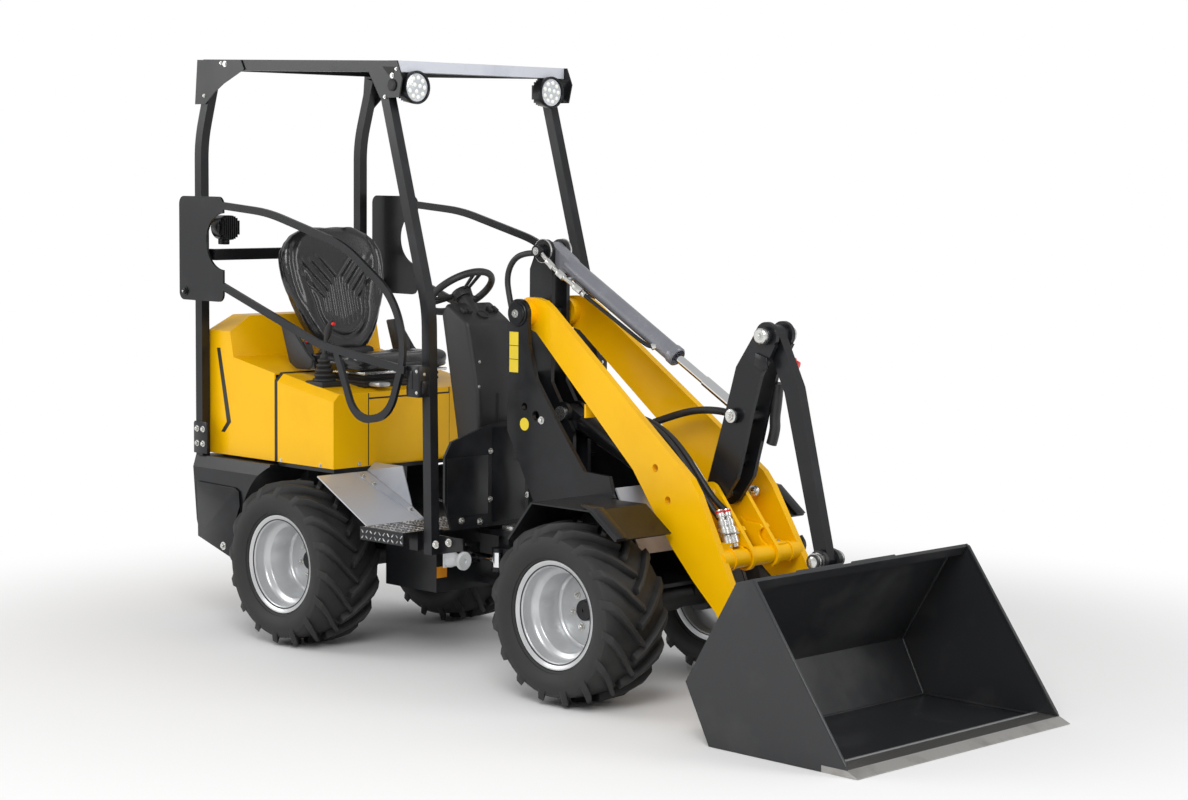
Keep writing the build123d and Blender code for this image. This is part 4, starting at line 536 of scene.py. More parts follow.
def carve(piece, depth_at):
    """Presses the sewn channels in along each point's own normal."""
    mesh = piece.data
    normals = [corner.normal.copy() for corner in mesh.vertices]
    for corner, normal in zip(mesh.vertices, normals):
        corner.co += normal * depth_at(corner.co, normal) * 0.001
    smooth = bmesh.new()
    smooth.from_mesh(mesh)
    for step in range(3):
        bmesh.ops.smooth_vert(
            smooth, verts=smooth.verts, factor=0.3, use_axis_x=True, use_axis_y=True, use_axis_z=True,
        )
    smooth.to_mesh(mesh)
    smooth.free()
    mesh.polygons.foreach_set("use_smooth", [True] * len(mesh.polygons))


def foam(name, cuts, form):
    """A cube cut fine and pressed into the foam's form."""
    block = bmesh.new()
    bmesh.ops.create_cube(block, size=2)
    bmesh.ops.subdivide_edges(block, edges=block.edges, cuts=cuts, use_grid_fill=True)
    for corner in block.verts:
        corner.co = form(*corner.co)
    bmesh.ops.smooth_vert(block, verts=block.verts, factor=0.5, use_axis_x=True, use_axis_y=True, use_axis_z=True)
    return made(block, name, vinyl, "chassis", "seat_cover", sharp=80)


def cushion_form(a, b, c):
    """Front roll, raised sides and rounded corners of the cushion."""
    plan = min(1.0, 1.0 / max((abs(a) ** 7 + abs(b) ** 7) ** (1 / 7), 1e-6))
    x = -20 + 146 * a * (plan if abs(a) + abs(b) > 1.2 else 1)
    y = 229 * b * (plan if abs(a) + abs(b) > 1.2 else 1)
    top = 992 + 15 * min(1, max(0, (abs(y) - 120) / 90)) + 10 * math.exp(-(((x - 70) / 45) ** 2))
    top -= 5 * max(0, (x - 85) / 40)
    rim_drop = 12 * max(abs(a), abs(b)) ** 8
    low = 953
    return x, y, low + (top - rim_drop - low) * (c + 1) / 2


def back_point(depth, y, rise):
    """A place on the leaning backrest: depth ahead of its front plane, y across, rise up it."""
    turn = Matrix.Rotation(-BACK_LEAN, 3, "Y")
    return BACK_FOOT + turn @ Vector((depth, y, rise))


def back_form(a, b, c):
    """Broad shoulders, a narrow waist and thick side rolls of the backrest."""
    rise = -42 + 474 * (b + 1) / 2
    y = a * between(BACK_HALF_WIDTHS, rise) * 0.985
    hollow = 20 * (1 - abs(a) ** 3) * (0.4 + 0.6 * math.exp(-(((rise - 250) / 170) ** 2)))
    front = -7 - hollow - 10 * max(0, (rise - 380) / 60) - 8 * abs(a) ** 8
    rear = -76 + 14 * a * a + 6 * abs(b) ** 4
    return back_point(rear + (front - rear) * (c + 1) / 2, y, rise)


def cushion_channels(place, normal):
    """Welt round the middle of the cushion and its sewn cross channels."""
    if normal.z < 0.3:
        return groove(place.z * 1000 - 968, 4, 3.5)
    x, y = place.x * 1000 + MIDDLE_X, abs(place.y * 1000)
    line = groove(y - 148 - 0.05 * (x + 20), 5, 5) if -150 < x < 85 else 0
    for channel in (-105, -62, -19, 24):
        if y < 140:
            line += groove(x - channel - 0.0004 * y * y, 5, 4.5)
    if y < 152:
        line += groove(x - 82, 5, 5)
    return line


def back_channels(place, normal):
    """Upright flutes that fan out to the shoulders, inside a welt shaped like a U."""
    local = Vector((place.x * 1000 + MIDDLE_X, place.y * 1000, place.z * 1000)) - BACK_FOOT
    local = Matrix.Rotation(BACK_LEAN, 3, "Y") @ local
    y, rise = abs(local.y), local.z
    facing = max(0, min(1, (normal.x - 0.2) / 0.35))
    if rise < 150:
        depth = groove((math.hypot(y / 112, (rise - 150) / 128) - 1) * 116, 7, 8)
    else:
        depth = groove(y - 112 - 0.32 * (rise - 150), 7, 8 * max(0, min(1, (330 - rise) / 60)))
    reach = max(0, min(1, (rise - 130) / 60, (405 - rise) / 40))
    depth += groove(y - 0.83 * between(BACK_HALF_WIDTHS, rise), 11, 7) * reach
    for flute, bend, end in ((11, 240, 330), (33, 214, 318), (55, 188, 300), (77, 164, 270)):
        line = flute + 0.95 * max(0, rise - bend)
        fade = max(0, min(1, (rise - 55 - 0.4 * flute) / 30, (end - rise) / 22))
        depth += groove(y - line, 6, 7.5) * fade
    return depth * facing + groove(local.x + 42, 5, 4) * (1 - facing)


cushion = swell(foam("seat_pad", 13, cushion_form), 0.006)
carve(cushion, cushion_channels)
backrest = swell(foam("back_pad", 15, back_form), 0.007)
carve(backrest, back_channels)
for pad, node_name in ((cushion, "seat_cushion"), (backrest, "seat_back")):
    pad.data.materials.clear()
    pad.data.materials.append(vinyl)
    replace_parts(pad, node_name)


# Hood and seat box trim: a black rubber seal in the seam between the two, a bent stripe
# of dark film on each flank, and small pan head screws along the box's lower edge.
SEAM_REAR, SEAM_FRONT, FLANK_Y, BODY_FOOT, SEAM_DECK, SEAM_FACET = -182.0, -164.0, 345.0, 622.0, 934.0, 26.0
STRIPE = ((-516, 1006), (-496, 1007), (-434, 742), (-472, 702), (-493, 703), (-459, 741))
stripe_film = finish_of("stripe_film", (0.022, 0.022, 0.018), (0.032, 0.031, 0.026), 0.35, 0.45, relief=0.05)


def drawn_out(shape, faces, move):
    """Draws faces out into a solid, and gives back the corners that moved."""
    far = corners_of(bmesh.ops.extrude_face_region(shape, geom=faces)["geom"])
    bmesh.ops.translate(shape, verts=far, vec=move)
    return far


def plate(shape, outline, low_y, high_y, edge=0.8):
    """A plate cut to an outline seen from the side, with its edges taken off."""
    near = [shape.verts.new((x, low_y, z)) for x, z in outline]
    far = drawn_out(shape, [shape.faces.new(near)], (0, high_y - low_y, 0))
    faces = list({face for corner in near + far for face in corner.link_faces})
    bmesh.ops.recalc_face_normals(shape, faces=faces)
    if edge:
        edges = list({side for face in faces for side in face.edges if side.calc_face_angle(0) > 0.5})
        bmesh.ops.bevel(shape, geom=edges, offset=edge, segments=2, profile=0.5, affect="EDGES", material=-1)


def brick(shape, low, high, edge=1.0, turn=None):
    """A block between two corners, its edges taken off, turned about its middle if asked."""
    middle, size = (Vector(low) + Vector(high)) / 2, Vector(high) - Vector(low)
    spot = Matrix.Translation(middle) @ (turn.to_4x4() if turn else Matrix()) @ Matrix.Diagonal((*size, 1))
    corners = bmesh.ops.create_cube(shape, size=1, matrix=spot)["verts"]
    edges = list({side for corner in corners for side in corner.link_edges})
    if edge:
        bmesh.ops.bevel(shape, geom=edges, offset=edge, segments=2, profile=0.5, affect="EDGES", material=-1)


def bar(shape, start, end, radius, far_radius=None, sides=28, edge=0.0):
    """A round bar or a cone between two places."""
    start, end = Vector(start), Vector(end)
    spot = Matrix.Translation((start + end) / 2) @ (end - start).to_track_quat("Z", "Y").to_matrix().to_4x4()
    far_radius = radius if far_radius is None else far_radius
    corners = bmesh.ops.create_cone(
        shape, cap_ends=True, segments=sides, radius1=radius, radius2=far_radius, depth=(end - start).length,
        matrix=spot,
    )["verts"]
    if edge:
        rims = list({side for corner in corners for side in corner.link_edges if side.calc_face_angle(0) > 0.9})
        bmesh.ops.bevel(shape, geom=rims, offset=edge, segments=2, profile=0.5, affect="EDGES", material=-1)


seal = bmesh.new()
outer = [(FLANK_Y + 0.8, BODY_FOOT), (FLANK_Y + 0.8, SEAM_DECK - SEAM_FACET), (FLANK_Y - SEAM_FACET, SEAM_DECK + 2.6)]
outer += [(-y, z) for y, z in outer[::-1]]
inner = [(y * (FLANK_Y - 9) / FLANK_Y, z - (9 if z > BODY_FOOT else 0)) for y, z in outer[::-1]]
seal_face = seal.faces.new([seal.verts.new((SEAM_REAR, y, z)) for y, z in outer + inner])
drawn_out(seal, [seal_face], (SEAM_FRONT - SEAM_REAR, 0, 0))
bmesh.ops.recalc_face_normals(seal, faces=seal.faces)
seal_rims = [side for side in seal.edges if side.calc_face_angle(0) > 0.5]
bmesh.ops.bevel(seal, geom=seal_rims, offset=2.5, segments=3, profile=0.5, affect="EDGES", material=-1)
made(seal, "seam_seal", rubber, "chassis")
for side in ("left", "right"):
    outward = 1 if side == "left" else -1
    film = bmesh.new()
    plate(film, STRIPE, outward * FLANK_Y, outward * (FLANK_Y + 0.5), edge=0)
    made(film, f"flank_stripe_{side}", stripe_film, "hood")
    bolts(f"box_screws_{side}", "chassis", [
        ((-145, outward * FLANK_Y, 629), (0, outward, 0), 9, 3.4, 1.6),
        ((73, outward * FLANK_Y, 629), (0, outward, 0), 9, 3.4, 1.6),
        ((145, outward * 229, 632), (1, 0, 0), 9, 3.4, 1.6),
    ])

# Middle of the seat box's front: a pressed yellow panel a little proud, with a soft hollow pressed across it,
# and thin dark strips painted as the shade in the gaps at its sides and at the turned edge along its top.
PANEL_Y, PANEL_TOP, PANEL_FOOT, BOX_FRONT = 186.0, 856.0, 626.0, 145.0
front_panel = bmesh.new()
bmesh.ops.create_grid(front_panel, x_segments=24, y_segments=16, size=1)
for corner in front_panel.verts:
    across, rise = corner.co.x, (corner.co.y + 1) / 2
    hollow = math.exp(-(((across * 0.9 + 0.35 - 0.5 * rise) / 0.35) ** 2)) * math.sin(math.pi * rise) ** 0.7
    corner.co = (BOX_FRONT + 3.2 - 2.2 * hollow, across * PANEL_Y, PANEL_FOOT + (PANEL_TOP - PANEL_FOOT) * rise)
drawn_out(front_panel, front_panel.faces[:], (-2.8, 0, 0))
made(front_panel, "box_front_panel", yellow_paint, "chassis", sharp=40)
# Painted shade: thin dark strips stand in for the shade in the panel's gaps and along its top.
gap_shade = bmesh.new()
for outward in (-1, 1):
    brick(
        gap_shade, (BOX_FRONT - 0.5, outward * (PANEL_Y + 2.2) - 2.2, PANEL_FOOT - 2),
        (BOX_FRONT + 0.6, outward * (PANEL_Y + 2.2) + 2.2, 878), edge=0,
    )
brick(gap_shade, (BOX_FRONT - 0.5, -PANEL_Y, PANEL_TOP), (BOX_FRONT + 0.6, PANEL_Y, PANEL_TOP + 6), edge=0)
made(gap_shade, "box_gap_shade", rubber, "chassis")


# Counterweight: a cast block whose sides carry a raised flat face, with one screw low at
# the front, and the feet of the rear posts bolted on above it.
WEIGHT_Y, POST_FACE_Y = 392.0, 388.0
arch = [(358 * math.cos(math.radians(turn)), 288 + 358 * math.sin(math.radians(turn))) for turn in range(153, 185, 4)]
WEIGHT_FACE = [(-574, 519), (-350, 514), (-327, 502)] + [(x - 3, z) for x, z in arch] + [(-362, 256), (-571, 318)]
for side in ("left", "right"):
    outward = 1 if side == "left" else -1
    face = bmesh.new()
    plate(face, WEIGHT_FACE, outward * (WEIGHT_Y - 1), outward * (WEIGHT_Y + 2.2), edge=1.6)
    made(face, f"weight_face_{side}", black_paint, "chassis", "cast")
    foot = bmesh.new()
    plate(
        foot, ((-589, 738), (-520, 738), (-514, 730), (-514, 622), (-594, 622), (-594, 730)), outward * POST_FACE_Y,
        outward * (POST_FACE_Y + 5), edge=1,
    )
    made(foot, f"post_foot_{side}", black_paint, "chassis")
    post_bolts = [(x, outward * (POST_FACE_Y + 5), z) for z in (711, 658) for x in (-572, -537)]
    bolts(f"weight_bolts_{side}", "chassis", [(spot, (0, outward, 0), 16, 8) for spot in post_bolts] + [
        ((-417, outward * (WEIGHT_Y + 2), 298), (0, outward, 0), 19, 9, 1.6),
    ])


# Floor: black step and floor of checker plate, pressed with crossed pairs of raised tears
# whose tops are worn bright, over the black turned-down lip.
FLOOR_TOP, STEP = 461.0, ((400, 618), (290, 434))
checker = finish_of(
    "checker", (0.2, 0.205, 0.215), (0.72, 0.73, 0.75), 0.3, 0.28, metal=0.35, scale=90, relief=0.4, patch=60,
    wear=(0.42, 0.6),
)


def add_tear(shape, place, turn):
    """One raised tear of the checker plate, on a face that a matrix stands upright."""
    tear = bmesh.ops.create_cone(shape, cap_ends=True, segments=8, radius1=1, radius2=0.55, depth=1.6)["verts"]
    spot = Matrix.Translation(place) @ turn @ Matrix.Diagonal((8.5, 2.6, 1, 1))
    bmesh.ops.transform(shape, matrix=spot, verts=tear)


for name, (x0, x1), (y0, y1) in (
    ("step_left", STEP[0], (292, 432)), ("step_right", STEP[0], (-432, -292)),
    ("foot_floor", (412, 640), (-286, 286)),
):
    tread = bmesh.new()
    count = 0
    x = x0 + 9
    while x < x1 - 6:
        y = y0 + 9
        while y < y1 - 6:
            lean = math.radians(45 if count % 2 else -45)
            add_tear(tread, (x, y, FLOOR_TOP + 0.8), Matrix.Rotation(lean, 4, "Z"))
            y += 18
            count += 1
        x += 18
        count += 0 if count % 2 else 1
    if name != "foot_floor":
        outward = 1 if y0 > 0 else -1
        for x in range(x0 + 12, x1 - 6, 22):
            for z in (427, 446):
                lean = math.radians(45 if (x // 22 + z) % 2 else -45)
                upright = Matrix.Rotation(-outward * math.pi / 2, 4, "X") @ Matrix.Rotation(lean, 4, "Z")
                add_tear(tread, (x, outward * 440.5, z), upright)
    made(tread, f"{name}_tread", checker, "chassis", sharp=25)


# Heel panels: bright sheet steel ramps before the rear wheels, each with a folded inner
# strip, an upright web between the two, and hexagon screws along the fold.
def on_ramp(along, y, lift=0.0):
    """A place on the ramp: the share of the way down it, across, and above its sheet."""
    top, foot = Vector((151, 606)), Vector((414, 461))
    spot = top + (foot - top) * along + Vector((145, 263)).normalized() * lift
    return (spot.x, y, spot.y)


for side in ("left", "right"):
    outward = 1 if side == "left" else -1
    strip = bmesh.new()
    fold = ((0.02, 262), (0.02, 205), (0.62, 165), (0.98, 165), (0.98, 178))
    corners = [strip.verts.new(on_ramp(along, outward * y, 0.6)) for along, y in fold]
    drawn_out(strip, [strip.faces.new(corners)], (0.9, 0, 1.7))
    made(strip, f"heel_strip_{side}", grey_paint, "chassis", "grey_paint")
    web = bmesh.new()
    inner = outward * 166
    web_corners = (on_ramp(0.0, outward * 200, 4), (151, inner, 634), (300, inner, 634), on_ramp(0.75, inner, 4))
    web_face = web.faces.new([web.verts.new(spot) for spot in web_corners])
    drawn_out(web, [web_face], (0, -outward * 3, 0))
    made(web, f"heel_web_{side}", grey_paint, "chassis", "grey_paint")
    bolts(f"heel_screws_{side}", "chassis", [
        (on_ramp(along, outward * y, 2.4), (145, 0, 263), 15, 8, 1.5)
        for along, y in ((0.1, 240), (0.26, 226), (0.8, 182))
    ])


# Leg shield: folded black sheet before the operator's feet, with the fold line of its
# inner half, a gaiter pocket low at each side, and hexagon screws.
shield_front = bmesh.new()
for outward in (-1, 1):
    brick(
        shield_front, (658.2, min(outward * 97, outward * 282), 500), (661.2, max(outward * 97, outward * 282), 700),
        edge=1,
    )
brick(shield_front, (658.2, -76, 470), (660.2, 76, 790), edge=0.8)
made(shield_front, "shield_folds", black_paint, "chassis")
bolts("shield_screws", "chassis", [
    ((658, outward * y, z), (1, 0, 0), width, height)
    for outward in (-1, 1)
    for y, z, width, height in ((84, 711, 14, 7), (86, 548, 14, 7), (216, 486, 17, 9), (132, 476, 17, 9))
])


# Front of the rear chassis: the white conical rubber bump stop that limits the steering,
# the bolts of the front posts' feet, and a blank orange patch of film under them.
white_plastic = finish_of("white_plastic", (0.75, 0.77, 0.78), (0.6, 0.62, 0.62), 0.35, 0.5, relief=0.15)
orange_film = finish_of("orange_film", (0.9, 0.33, 0.01), (0.8, 0.28, 0.01), 0.4, 0.5, relief=0.05)
for side in ("left", "right"):
    outward = 1 if side == "left" else -1
    stop = bmesh.new()
    profile = (
        (0, 0), (0, 26), (6, 29), (14, 27), (26, 22), (44, 20), (58, 24), (66, 31), (74, 31), (78, 27), (78, 8),
        (72, 7), (72, 0),
    )
    brick(stop, (606, outward * 228 - 24, 325), (614, outward * 228 + 24, 396), edge=1)
    turned(stop, profile, axis=(1, 0, 0), centre=(614, outward * 228, 354), closed=False, steps=40)
    made(stop, f"bump_stop_{side}", white_plastic, "chassis")
    bolts(f"foot_bolts_{side}", "chassis", [
        ((x, outward * 388.2, z), (0, outward, 0), 19, 9) for x, z in ((725, 430), (788, 443))
    ])
patch = bmesh.new()
brick(patch, (572, -249, 284), (572.6, -203, 322), edge=0)
made(patch, "blank_patch", orange_film, "chassis")


# Seat mount: a black rubber bellows over the suspension, moulded side covers that carry
# the belt buckles, a bare steel rail under the cushion's front edge and its grey lever.
bellows = bmesh.new()
for fold in range(5):
    low = 906 + 9 * fold
    reach = 0 if fold % 2 else 9
    brick(bellows, (-137 - reach, -166 - reach, low), (97 + reach, 166 + reach, low + 11), edge=4.5)
brick(bellows, (-140, -170, 893), (100, 170, 908), edge=4)
made(bellows, "seat_bellows", rubber, "chassis")
covers = bmesh.new()
COVER = ((-262, 1098), (-214, 1104), (-120, 1010), (-84, 985), (-84, 958), (-110, 946), (-176, 946), (-214, 966))
for outward in (-1, 1):
    plate(covers, COVER, outward * 236, outward * 255, edge=6)
    brick(
        covers, (-158, outward * 228 - 16, 990), (-128, outward * 228 + 16, 1046), edge=6,
        turn=Matrix.Rotation(math.radians(-24), 3, "Y"),
    )
brick(covers, (-226, -120, 958), (-180, 120, 1012), edge=16)
made(covers, "seat_covers", moulding, "chassis")
red_plastic = finish_of("red_plastic", (0.75, 0.015, 0.01), (0.6, 0.012, 0.01), 0.3, 0.4, relief=0.05)
buttons = bmesh.new()
brick(buttons, (-142, -240, 1041), (-124, -220, 1053), edge=3, turn=Matrix.Rotation(math.radians(-24), 3, "Y"))
made(buttons, "buckle_button", red_plastic, "chassis")
rail = bmesh.new()
for y in (-187, 187):
    brick(rail, (-120, y - 6, 938), (128, y + 6, 948), edge=2)
brick(rail, (118, -193, 939), (130, 193, 949), edge=3)
made(rail, "seat_rail", zinc, "chassis")
lever = bmesh.new()
brick(lever, (96, -150, 896), (158, -96, 912), edge=7)
bar(lever, (60, -123, 904), (100, -123, 904), 6)
made(lever, "seat_lever", silver_paint, "chassis", "steel")


# Joystick: a rubber bellows of five folds on a square foot, round a black lever with a
# grip that leans forward and a red push button on its nose.
STICK_X, STICK_Y, STICK_DECK = 5.0, -272.0, 904.5
stick = bmesh.new()
brick(stick, (STICK_X - 48, STICK_Y - 48, STICK_DECK - 9), (STICK_X + 48, STICK_Y + 48, STICK_DECK + 12), edge=5)
folds = [(4, 0)]
for step in range(5):
    outer_radius, inner_radius, low = 41 - 4.2 * step, 31 - 4.2 * step, 10 + 17 * step
    folds += [(low, outer_radius - 3), (low + 4, outer_radius), (low + 9, outer_radius - 2), (low + 13, inner_radius)]
folds += [(96, 14), (104, 12), (104, 0)]
turned(stick, folds, axis=(0, 0, 1), centre=(STICK_X, STICK_Y, STICK_DECK), closed=False, steps=40)
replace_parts(made(stick, "stick_bellows", rubber, "chassis"), "joystick")
grip = bmesh.new()
bar(grip, (STICK_X, STICK_Y, STICK_DECK + 96), (STICK_X + 14, STICK_Y, STICK_DECK + 170), 8, 9)
bmesh.ops.create_uvsphere(grip, u_segments=24, v_segments=16, radius=1)
for corner in grip.verts:
    if corner.co.length < 1.01:
        x, y, z = corner.co
        corner.co = (STICK_X + 26 + 15 * x + 13 * z + 6 * z * z, STICK_Y + 15 * y, STICK_DECK + 193 + 37 * z + 5 * x)
made(grip, "stick_grip", moulding, "chassis", sharp=60)
button = bmesh.new()
bar(button, (STICK_X + 46, STICK_Y, STICK_DECK + 213), (STICK_X + 56, STICK_Y, STICK_DECK + 213), 7, 6, edge=1.5)
made(button, "stick_button", red_plastic, "chassis")


# Steering console: a moulded black housing with rounded edges, a dash with rocker
# switches and a round dial, a parting line with screws and a ribbed neck below.
CONSOLE = ((425, 1165), (452, 1205), (560, 1140), (604, 905), (604, 640), (500, 640), (470, 880))
housing = bmesh.new()
plate(housing, CONSOLE, -104, 104, edge=0)
for corner in housing.verts:
    corner.co.y *= 0.78 if corner.co.z < 700 else 0.9 if corner.co.z < 950 else 1.0
bmesh.ops.bevel(housing, geom=housing.edges[:], offset=15, segments=4, profile=0.5, affect="EDGES", material=-1)
brick(housing, (502, -58, 461.5), (598, 58, 650), edge=10)
for row in range(4):
    brick(housing, (600, -34, 470 + 38 * row), (604, 34, 486 + 38 * row), edge=1.5)
bar(housing, (424, 0, 1220), (472, 0, 1159), 24, 30)
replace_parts(made(housing, "console_housing", moulding, "chassis", sharp=30), "console")
dash = bmesh.new()
DASH_TURN = Matrix.Rotation(math.radians(31), 3, "Y")
for y in (-72, -48, 48, 72):
    brick(dash, (494, y - 8, 1170), (520, y + 8, 1185), edge=2.5, turn=DASH_TURN)
turned(
    dash, ((0, 0), (0, 20), (4, 22), (8, 22), (8, 18), (5, 17), (5, 0)), axis=(0.515, 0, 0.857),
    centre=(524, 0, 1160), closed=False, steps=32,
)
brick(dash, (607, -3, 700), (609, 3, 900), edge=1)
made(dash, "dash_switches", rubber, "chassis")
bolts("console_screws", "chassis", [
    (spot, (0.98, 0, 0.18), 8, 3) for spot in ((586, -70, 1008), (600, -84, 925), (586, 70, 1008), (600, 84, 925))
])


# Steering wheel: a grip rim in soft black plastic on three spokes, with a domed cap and
# a spinner knob; it turns about the leaning column.
wheel_place = Matrix.Translation((412, 0, 1236)) @ Matrix.Rotation(math.radians(-38), 4, "Y")
wheel_form = bmesh.new()
ring_turns = [math.radians(turn) for turn in range(0, 360, 30)]
rim_ring = [(13 * math.cos(turn), 118 + 11.6 * math.sin(turn)) for turn in ring_turns]
turned(wheel_form, rim_ring, axis=(0, 0, 1), steps=72)
turned(
    wheel_form, ((-28, 0), (-28, 34), (-14, 36), (-4, 38), (2, 34), (7, 22), (8, 0)), axis=(0, 0, 1), closed=False,
    steps=40,
)
for turn in (0, 120, 240):
    for offset in (-9, 9):
        lean = Matrix.Rotation(math.radians(turn), 3, "Z")
        bar(wheel_form, lean @ Vector((30, offset, -8)), lean @ Vector((112, offset * 1.7, 0)), 5.5, 6.5, sides=16)
bmesh.ops.transform(wheel_form, matrix=wheel_place, verts=wheel_form.verts)
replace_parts(made(wheel_form, "grip_wheel", moulding, "steering_wheel", sharp=45), "steering_wheel")


# Side guards' fittings: a pivot bolt with its washer through each plate, and the latch
# box on each front post that catches the loop, with a plunger and two screws.
for side in ("left", "right"):
    outward = 1 if side == "left" else -1
    pivot = bmesh.new()
    turned(
        pivot, ((0, 0), (0, 17), (3, 17), (3, 12), (8, 11), (10, 8), (10, 0)), axis=(0, outward, 0),
        centre=(-553, outward * 456, 1213), closed=False, steps=32,
    )
    made(pivot, f"guard_pivot_{side}", black_paint, f"guard_{side}")
    bolts(f"guard_pivot_bolt_{side}", f"guard_{side}", [((-553, outward * 463, 1213), (0, outward, 0), 12, 5, 1.2)])
    latch = bmesh.new()
    brick(
        latch, (632, min(outward * 389, outward * 439), 914), (694, max(outward * 389, outward * 439), 1016), edge=3,
    )
    brick(
        latch, (640, min(outward * 389, outward * 441), 940), (666, max(outward * 389, outward * 441), 1000), edge=2,
    )
    brick(latch, (690, min(outward * 400, outward * 428), 925), (702, max(outward * 400, outward * 428), 968), edge=3)
    made(latch, f"latch_box_{side}", black_paint, "chassis")
    bolts(f"latch_screws_{side}", "chassis", [
        ((684, outward * 439, 930), (0, outward, 0), 8, 3), ((684, outward * 439, 1000), (0, outward, 0), 8, 3),
        ((694, outward * 414, 990), (1, 0, 0), 8, 3),
    ])


# Canopy: a pale folded channel over the roof's front beam, bolts, a knob and a dark sheet painted as the shade
# in a hole in the corner gussets, and a small hook bar at the rear edge.
channel = bmesh.new()
plate(
    channel, ((519.9, 1974.5), (519.9, 2011.4), (476, 2012.6), (476, 2012.1), (519.2, 2011.0), (519.2, 1974.5)), -386,
    386, edge=0,
)
beam_grey = finish_of("beam_grey", (0.62, 0.64, 0.7), (0.5, 0.52, 0.58), 0.3, 0.42, metal=0.2, relief=0.1)
made(channel, "beam_channel", beam_grey, "chassis")
hook = bmesh.new()
for y in (-352, 352):
    bar(hook, (-500, y, 2029), (-596, y, 2031), 6, edge=1)
    bar(hook, (-592, y, 2026), (-592, y, 2038.5), 6.5, edge=1)
made(hook, "roof_hooks", black_paint, "chassis")
for side in ("left", "right"):
    outward = 1 if side == "left" else -1
    # Painted shade: a thin dark sheet on the gusset stands in for the hole's shaded inside.
    hole_shade = bmesh.new()
    plate(
        hole_shade, ((458, 1993), (519, 1990), (516, 1972), (503, 1951), (481, 1971)), outward * 393, outward * 393.6,
        edge=0,
    )
    made(hole_shade, f"gusset_hole_shade_{side}", rubber, "chassis")
    bolts(f"gusset_bolts_{side}", "chassis", [
        ((x, outward * 392.6, z), (0, outward, 0), width, 5)
        for x, z, width in (
            (507, 1962, 13), (528, 1983, 8), (470, 1893, 9), (-398, 2020, 15), (-420, 2024, 9), (-520, 1910, 9),
        )
    ])
    knob = bmesh.new()
    turned(
        knob, ((0, 0), (0, 20), (5, 20), (9, 15), (9, 0)), axis=(0, outward, 0), centre=(508, outward * 392.6, 1931),
        closed=False, steps=32,
    )
    made(knob, f"gusset_knob_{side}", rubber, "chassis")


# Work lamps: black die cast bodies with cooling fins, a clear lens each over a pale
# reflector with twelve bright diodes in two rings, on small forked brackets.
lens_clear = finish_of(
    "lens_clear", (0.62, 0.65, 0.68), (0.55, 0.58, 0.6), 0.08, 0.14, metal=0.3, scale=90, relief=0.5,
)
diode_white = finish_of("diode_white", (0.95, 0.95, 0.9), (0.85, 0.85, 0.8), 0.1, 0.15, relief=0.05)
bezels, lenses, diodes = bmesh.new(), bmesh.new(), bmesh.new()
for y in (-310, 310):
    turned(
        bezels, ((-46, 0), (-46, 32), (-40, 49), (-8, 54.5), (4, 55.5), (8, 54), (8, 50), (4, 49), (-4, 49), (-4, 0)),
        axis=(1, 0, 0), centre=(533, y, 1925), closed=False, steps=48,
    )
    for fin in range(-4, 5):
        half = math.sqrt(47 ** 2 - (fin * 10) ** 2)
        brick(bezels, (480, y + fin * 10 - 1.6, 1925 - half), (524, y + fin * 10 + 1.6, 1925 + half), edge=0)
    brick(bezels, (490, y - 16, 1966), (516, y + 16, 1975), edge=1.5)
    turned(
        lenses, ((-3.6, 0), (-3.6, 48.6), (-1, 48.6), (2.5, 46), (4, 28), (4.5, 0)), axis=(1, 0, 0),
        centre=(533, y, 1925), closed=False, steps=48,
    )
    for count, ring, start in ((9, 33, 0), (3, 13, 20)):
        for place in range(count):
            turn = math.radians(360 * place / count + start)
            turned(
                diodes, ((3.6, 0), (3.6, 8), (5.2, 7), (6.6, 4), (7, 0)), axis=(1, 0, 0),
                centre=(533, y + ring * math.cos(turn), 1925 + ring * math.sin(turn)), closed=False, steps=14,
            )
turned(
    bezels, ((-26, 0), (-26, 40), (-20, 44), (18, 44), (24, 36), (24, 0)), axis=(1, 0, 0), centre=(-470, -345, 1441),
    closed=False, steps=48,
)
for fin in range(-4, 5):
    half = math.sqrt(44 ** 2 - (fin * 9) ** 2)
    brick(bezels, (-450, -345 + fin * 9 - 1.6, 1441 - half), (-428, -345 + fin * 9 + 1.6, 1441 + half), edge=0)
brick(bezels, (-492, -357, 1380), (-452, -333, 1402), edge=3)
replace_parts(made(bezels, "lamp_bodies", black_paint, "chassis", "lamp"), "work_lamps")
made(lenses, "lamp_lenses", lens_clear, "chassis")
made(diodes, "lamp_diodes", diode_white, "chassis")


# Lift tower: blank yellow film labels on the right flank, a hexagon screw, a steel screw
# in the middle of each black pin head, and a plated band round the column's head.
label_film = finish_of("label_film", (0.9, 0.68, 0.03), (0.8, 0.6, 0.03), 0.4, 0.5, relief=0.04)
labels = bmesh.new()
brick(labels, (829, -160.5, 994), (871, -160, 1127), edge=0)
bar(labels, (902, -160, 826), (902, -160.5, 826), 21, sides=40)
made(labels, "blank_labels", label_film, "front")
label_lines = bmesh.new()
for z in (1036, 1081):
    brick(label_lines, (829, -160.8, z), (871, -160.4, z + 2), edge=0)
made(label_lines, "label_lines", rubber, "front")
bolts("tower_screws", "front", [
    ((983, -160, 845), (0, -1, 0), 18, 9), ((868, -172, 1188), (0, -1, 0), 22, 7, 1.25),
    ((983, 160, 845), (0, 1, 0), 18, 9), ((868, 172, 1188), (0, 1, 0), 22, 7, 1.25),
    ((867, -80, 1391), (0, -1, 0), 18, 6),
])
collars = bmesh.new()
for outward in (-1, 1):
    turned(
        collars, ((0, 22), (0, 42), (4, 42), (6, 40), (6, 36), (11, 35), (11, 22)), axis=(0, outward, 0),
        centre=(868, outward * 160.3, 1188), steps=48,
    )
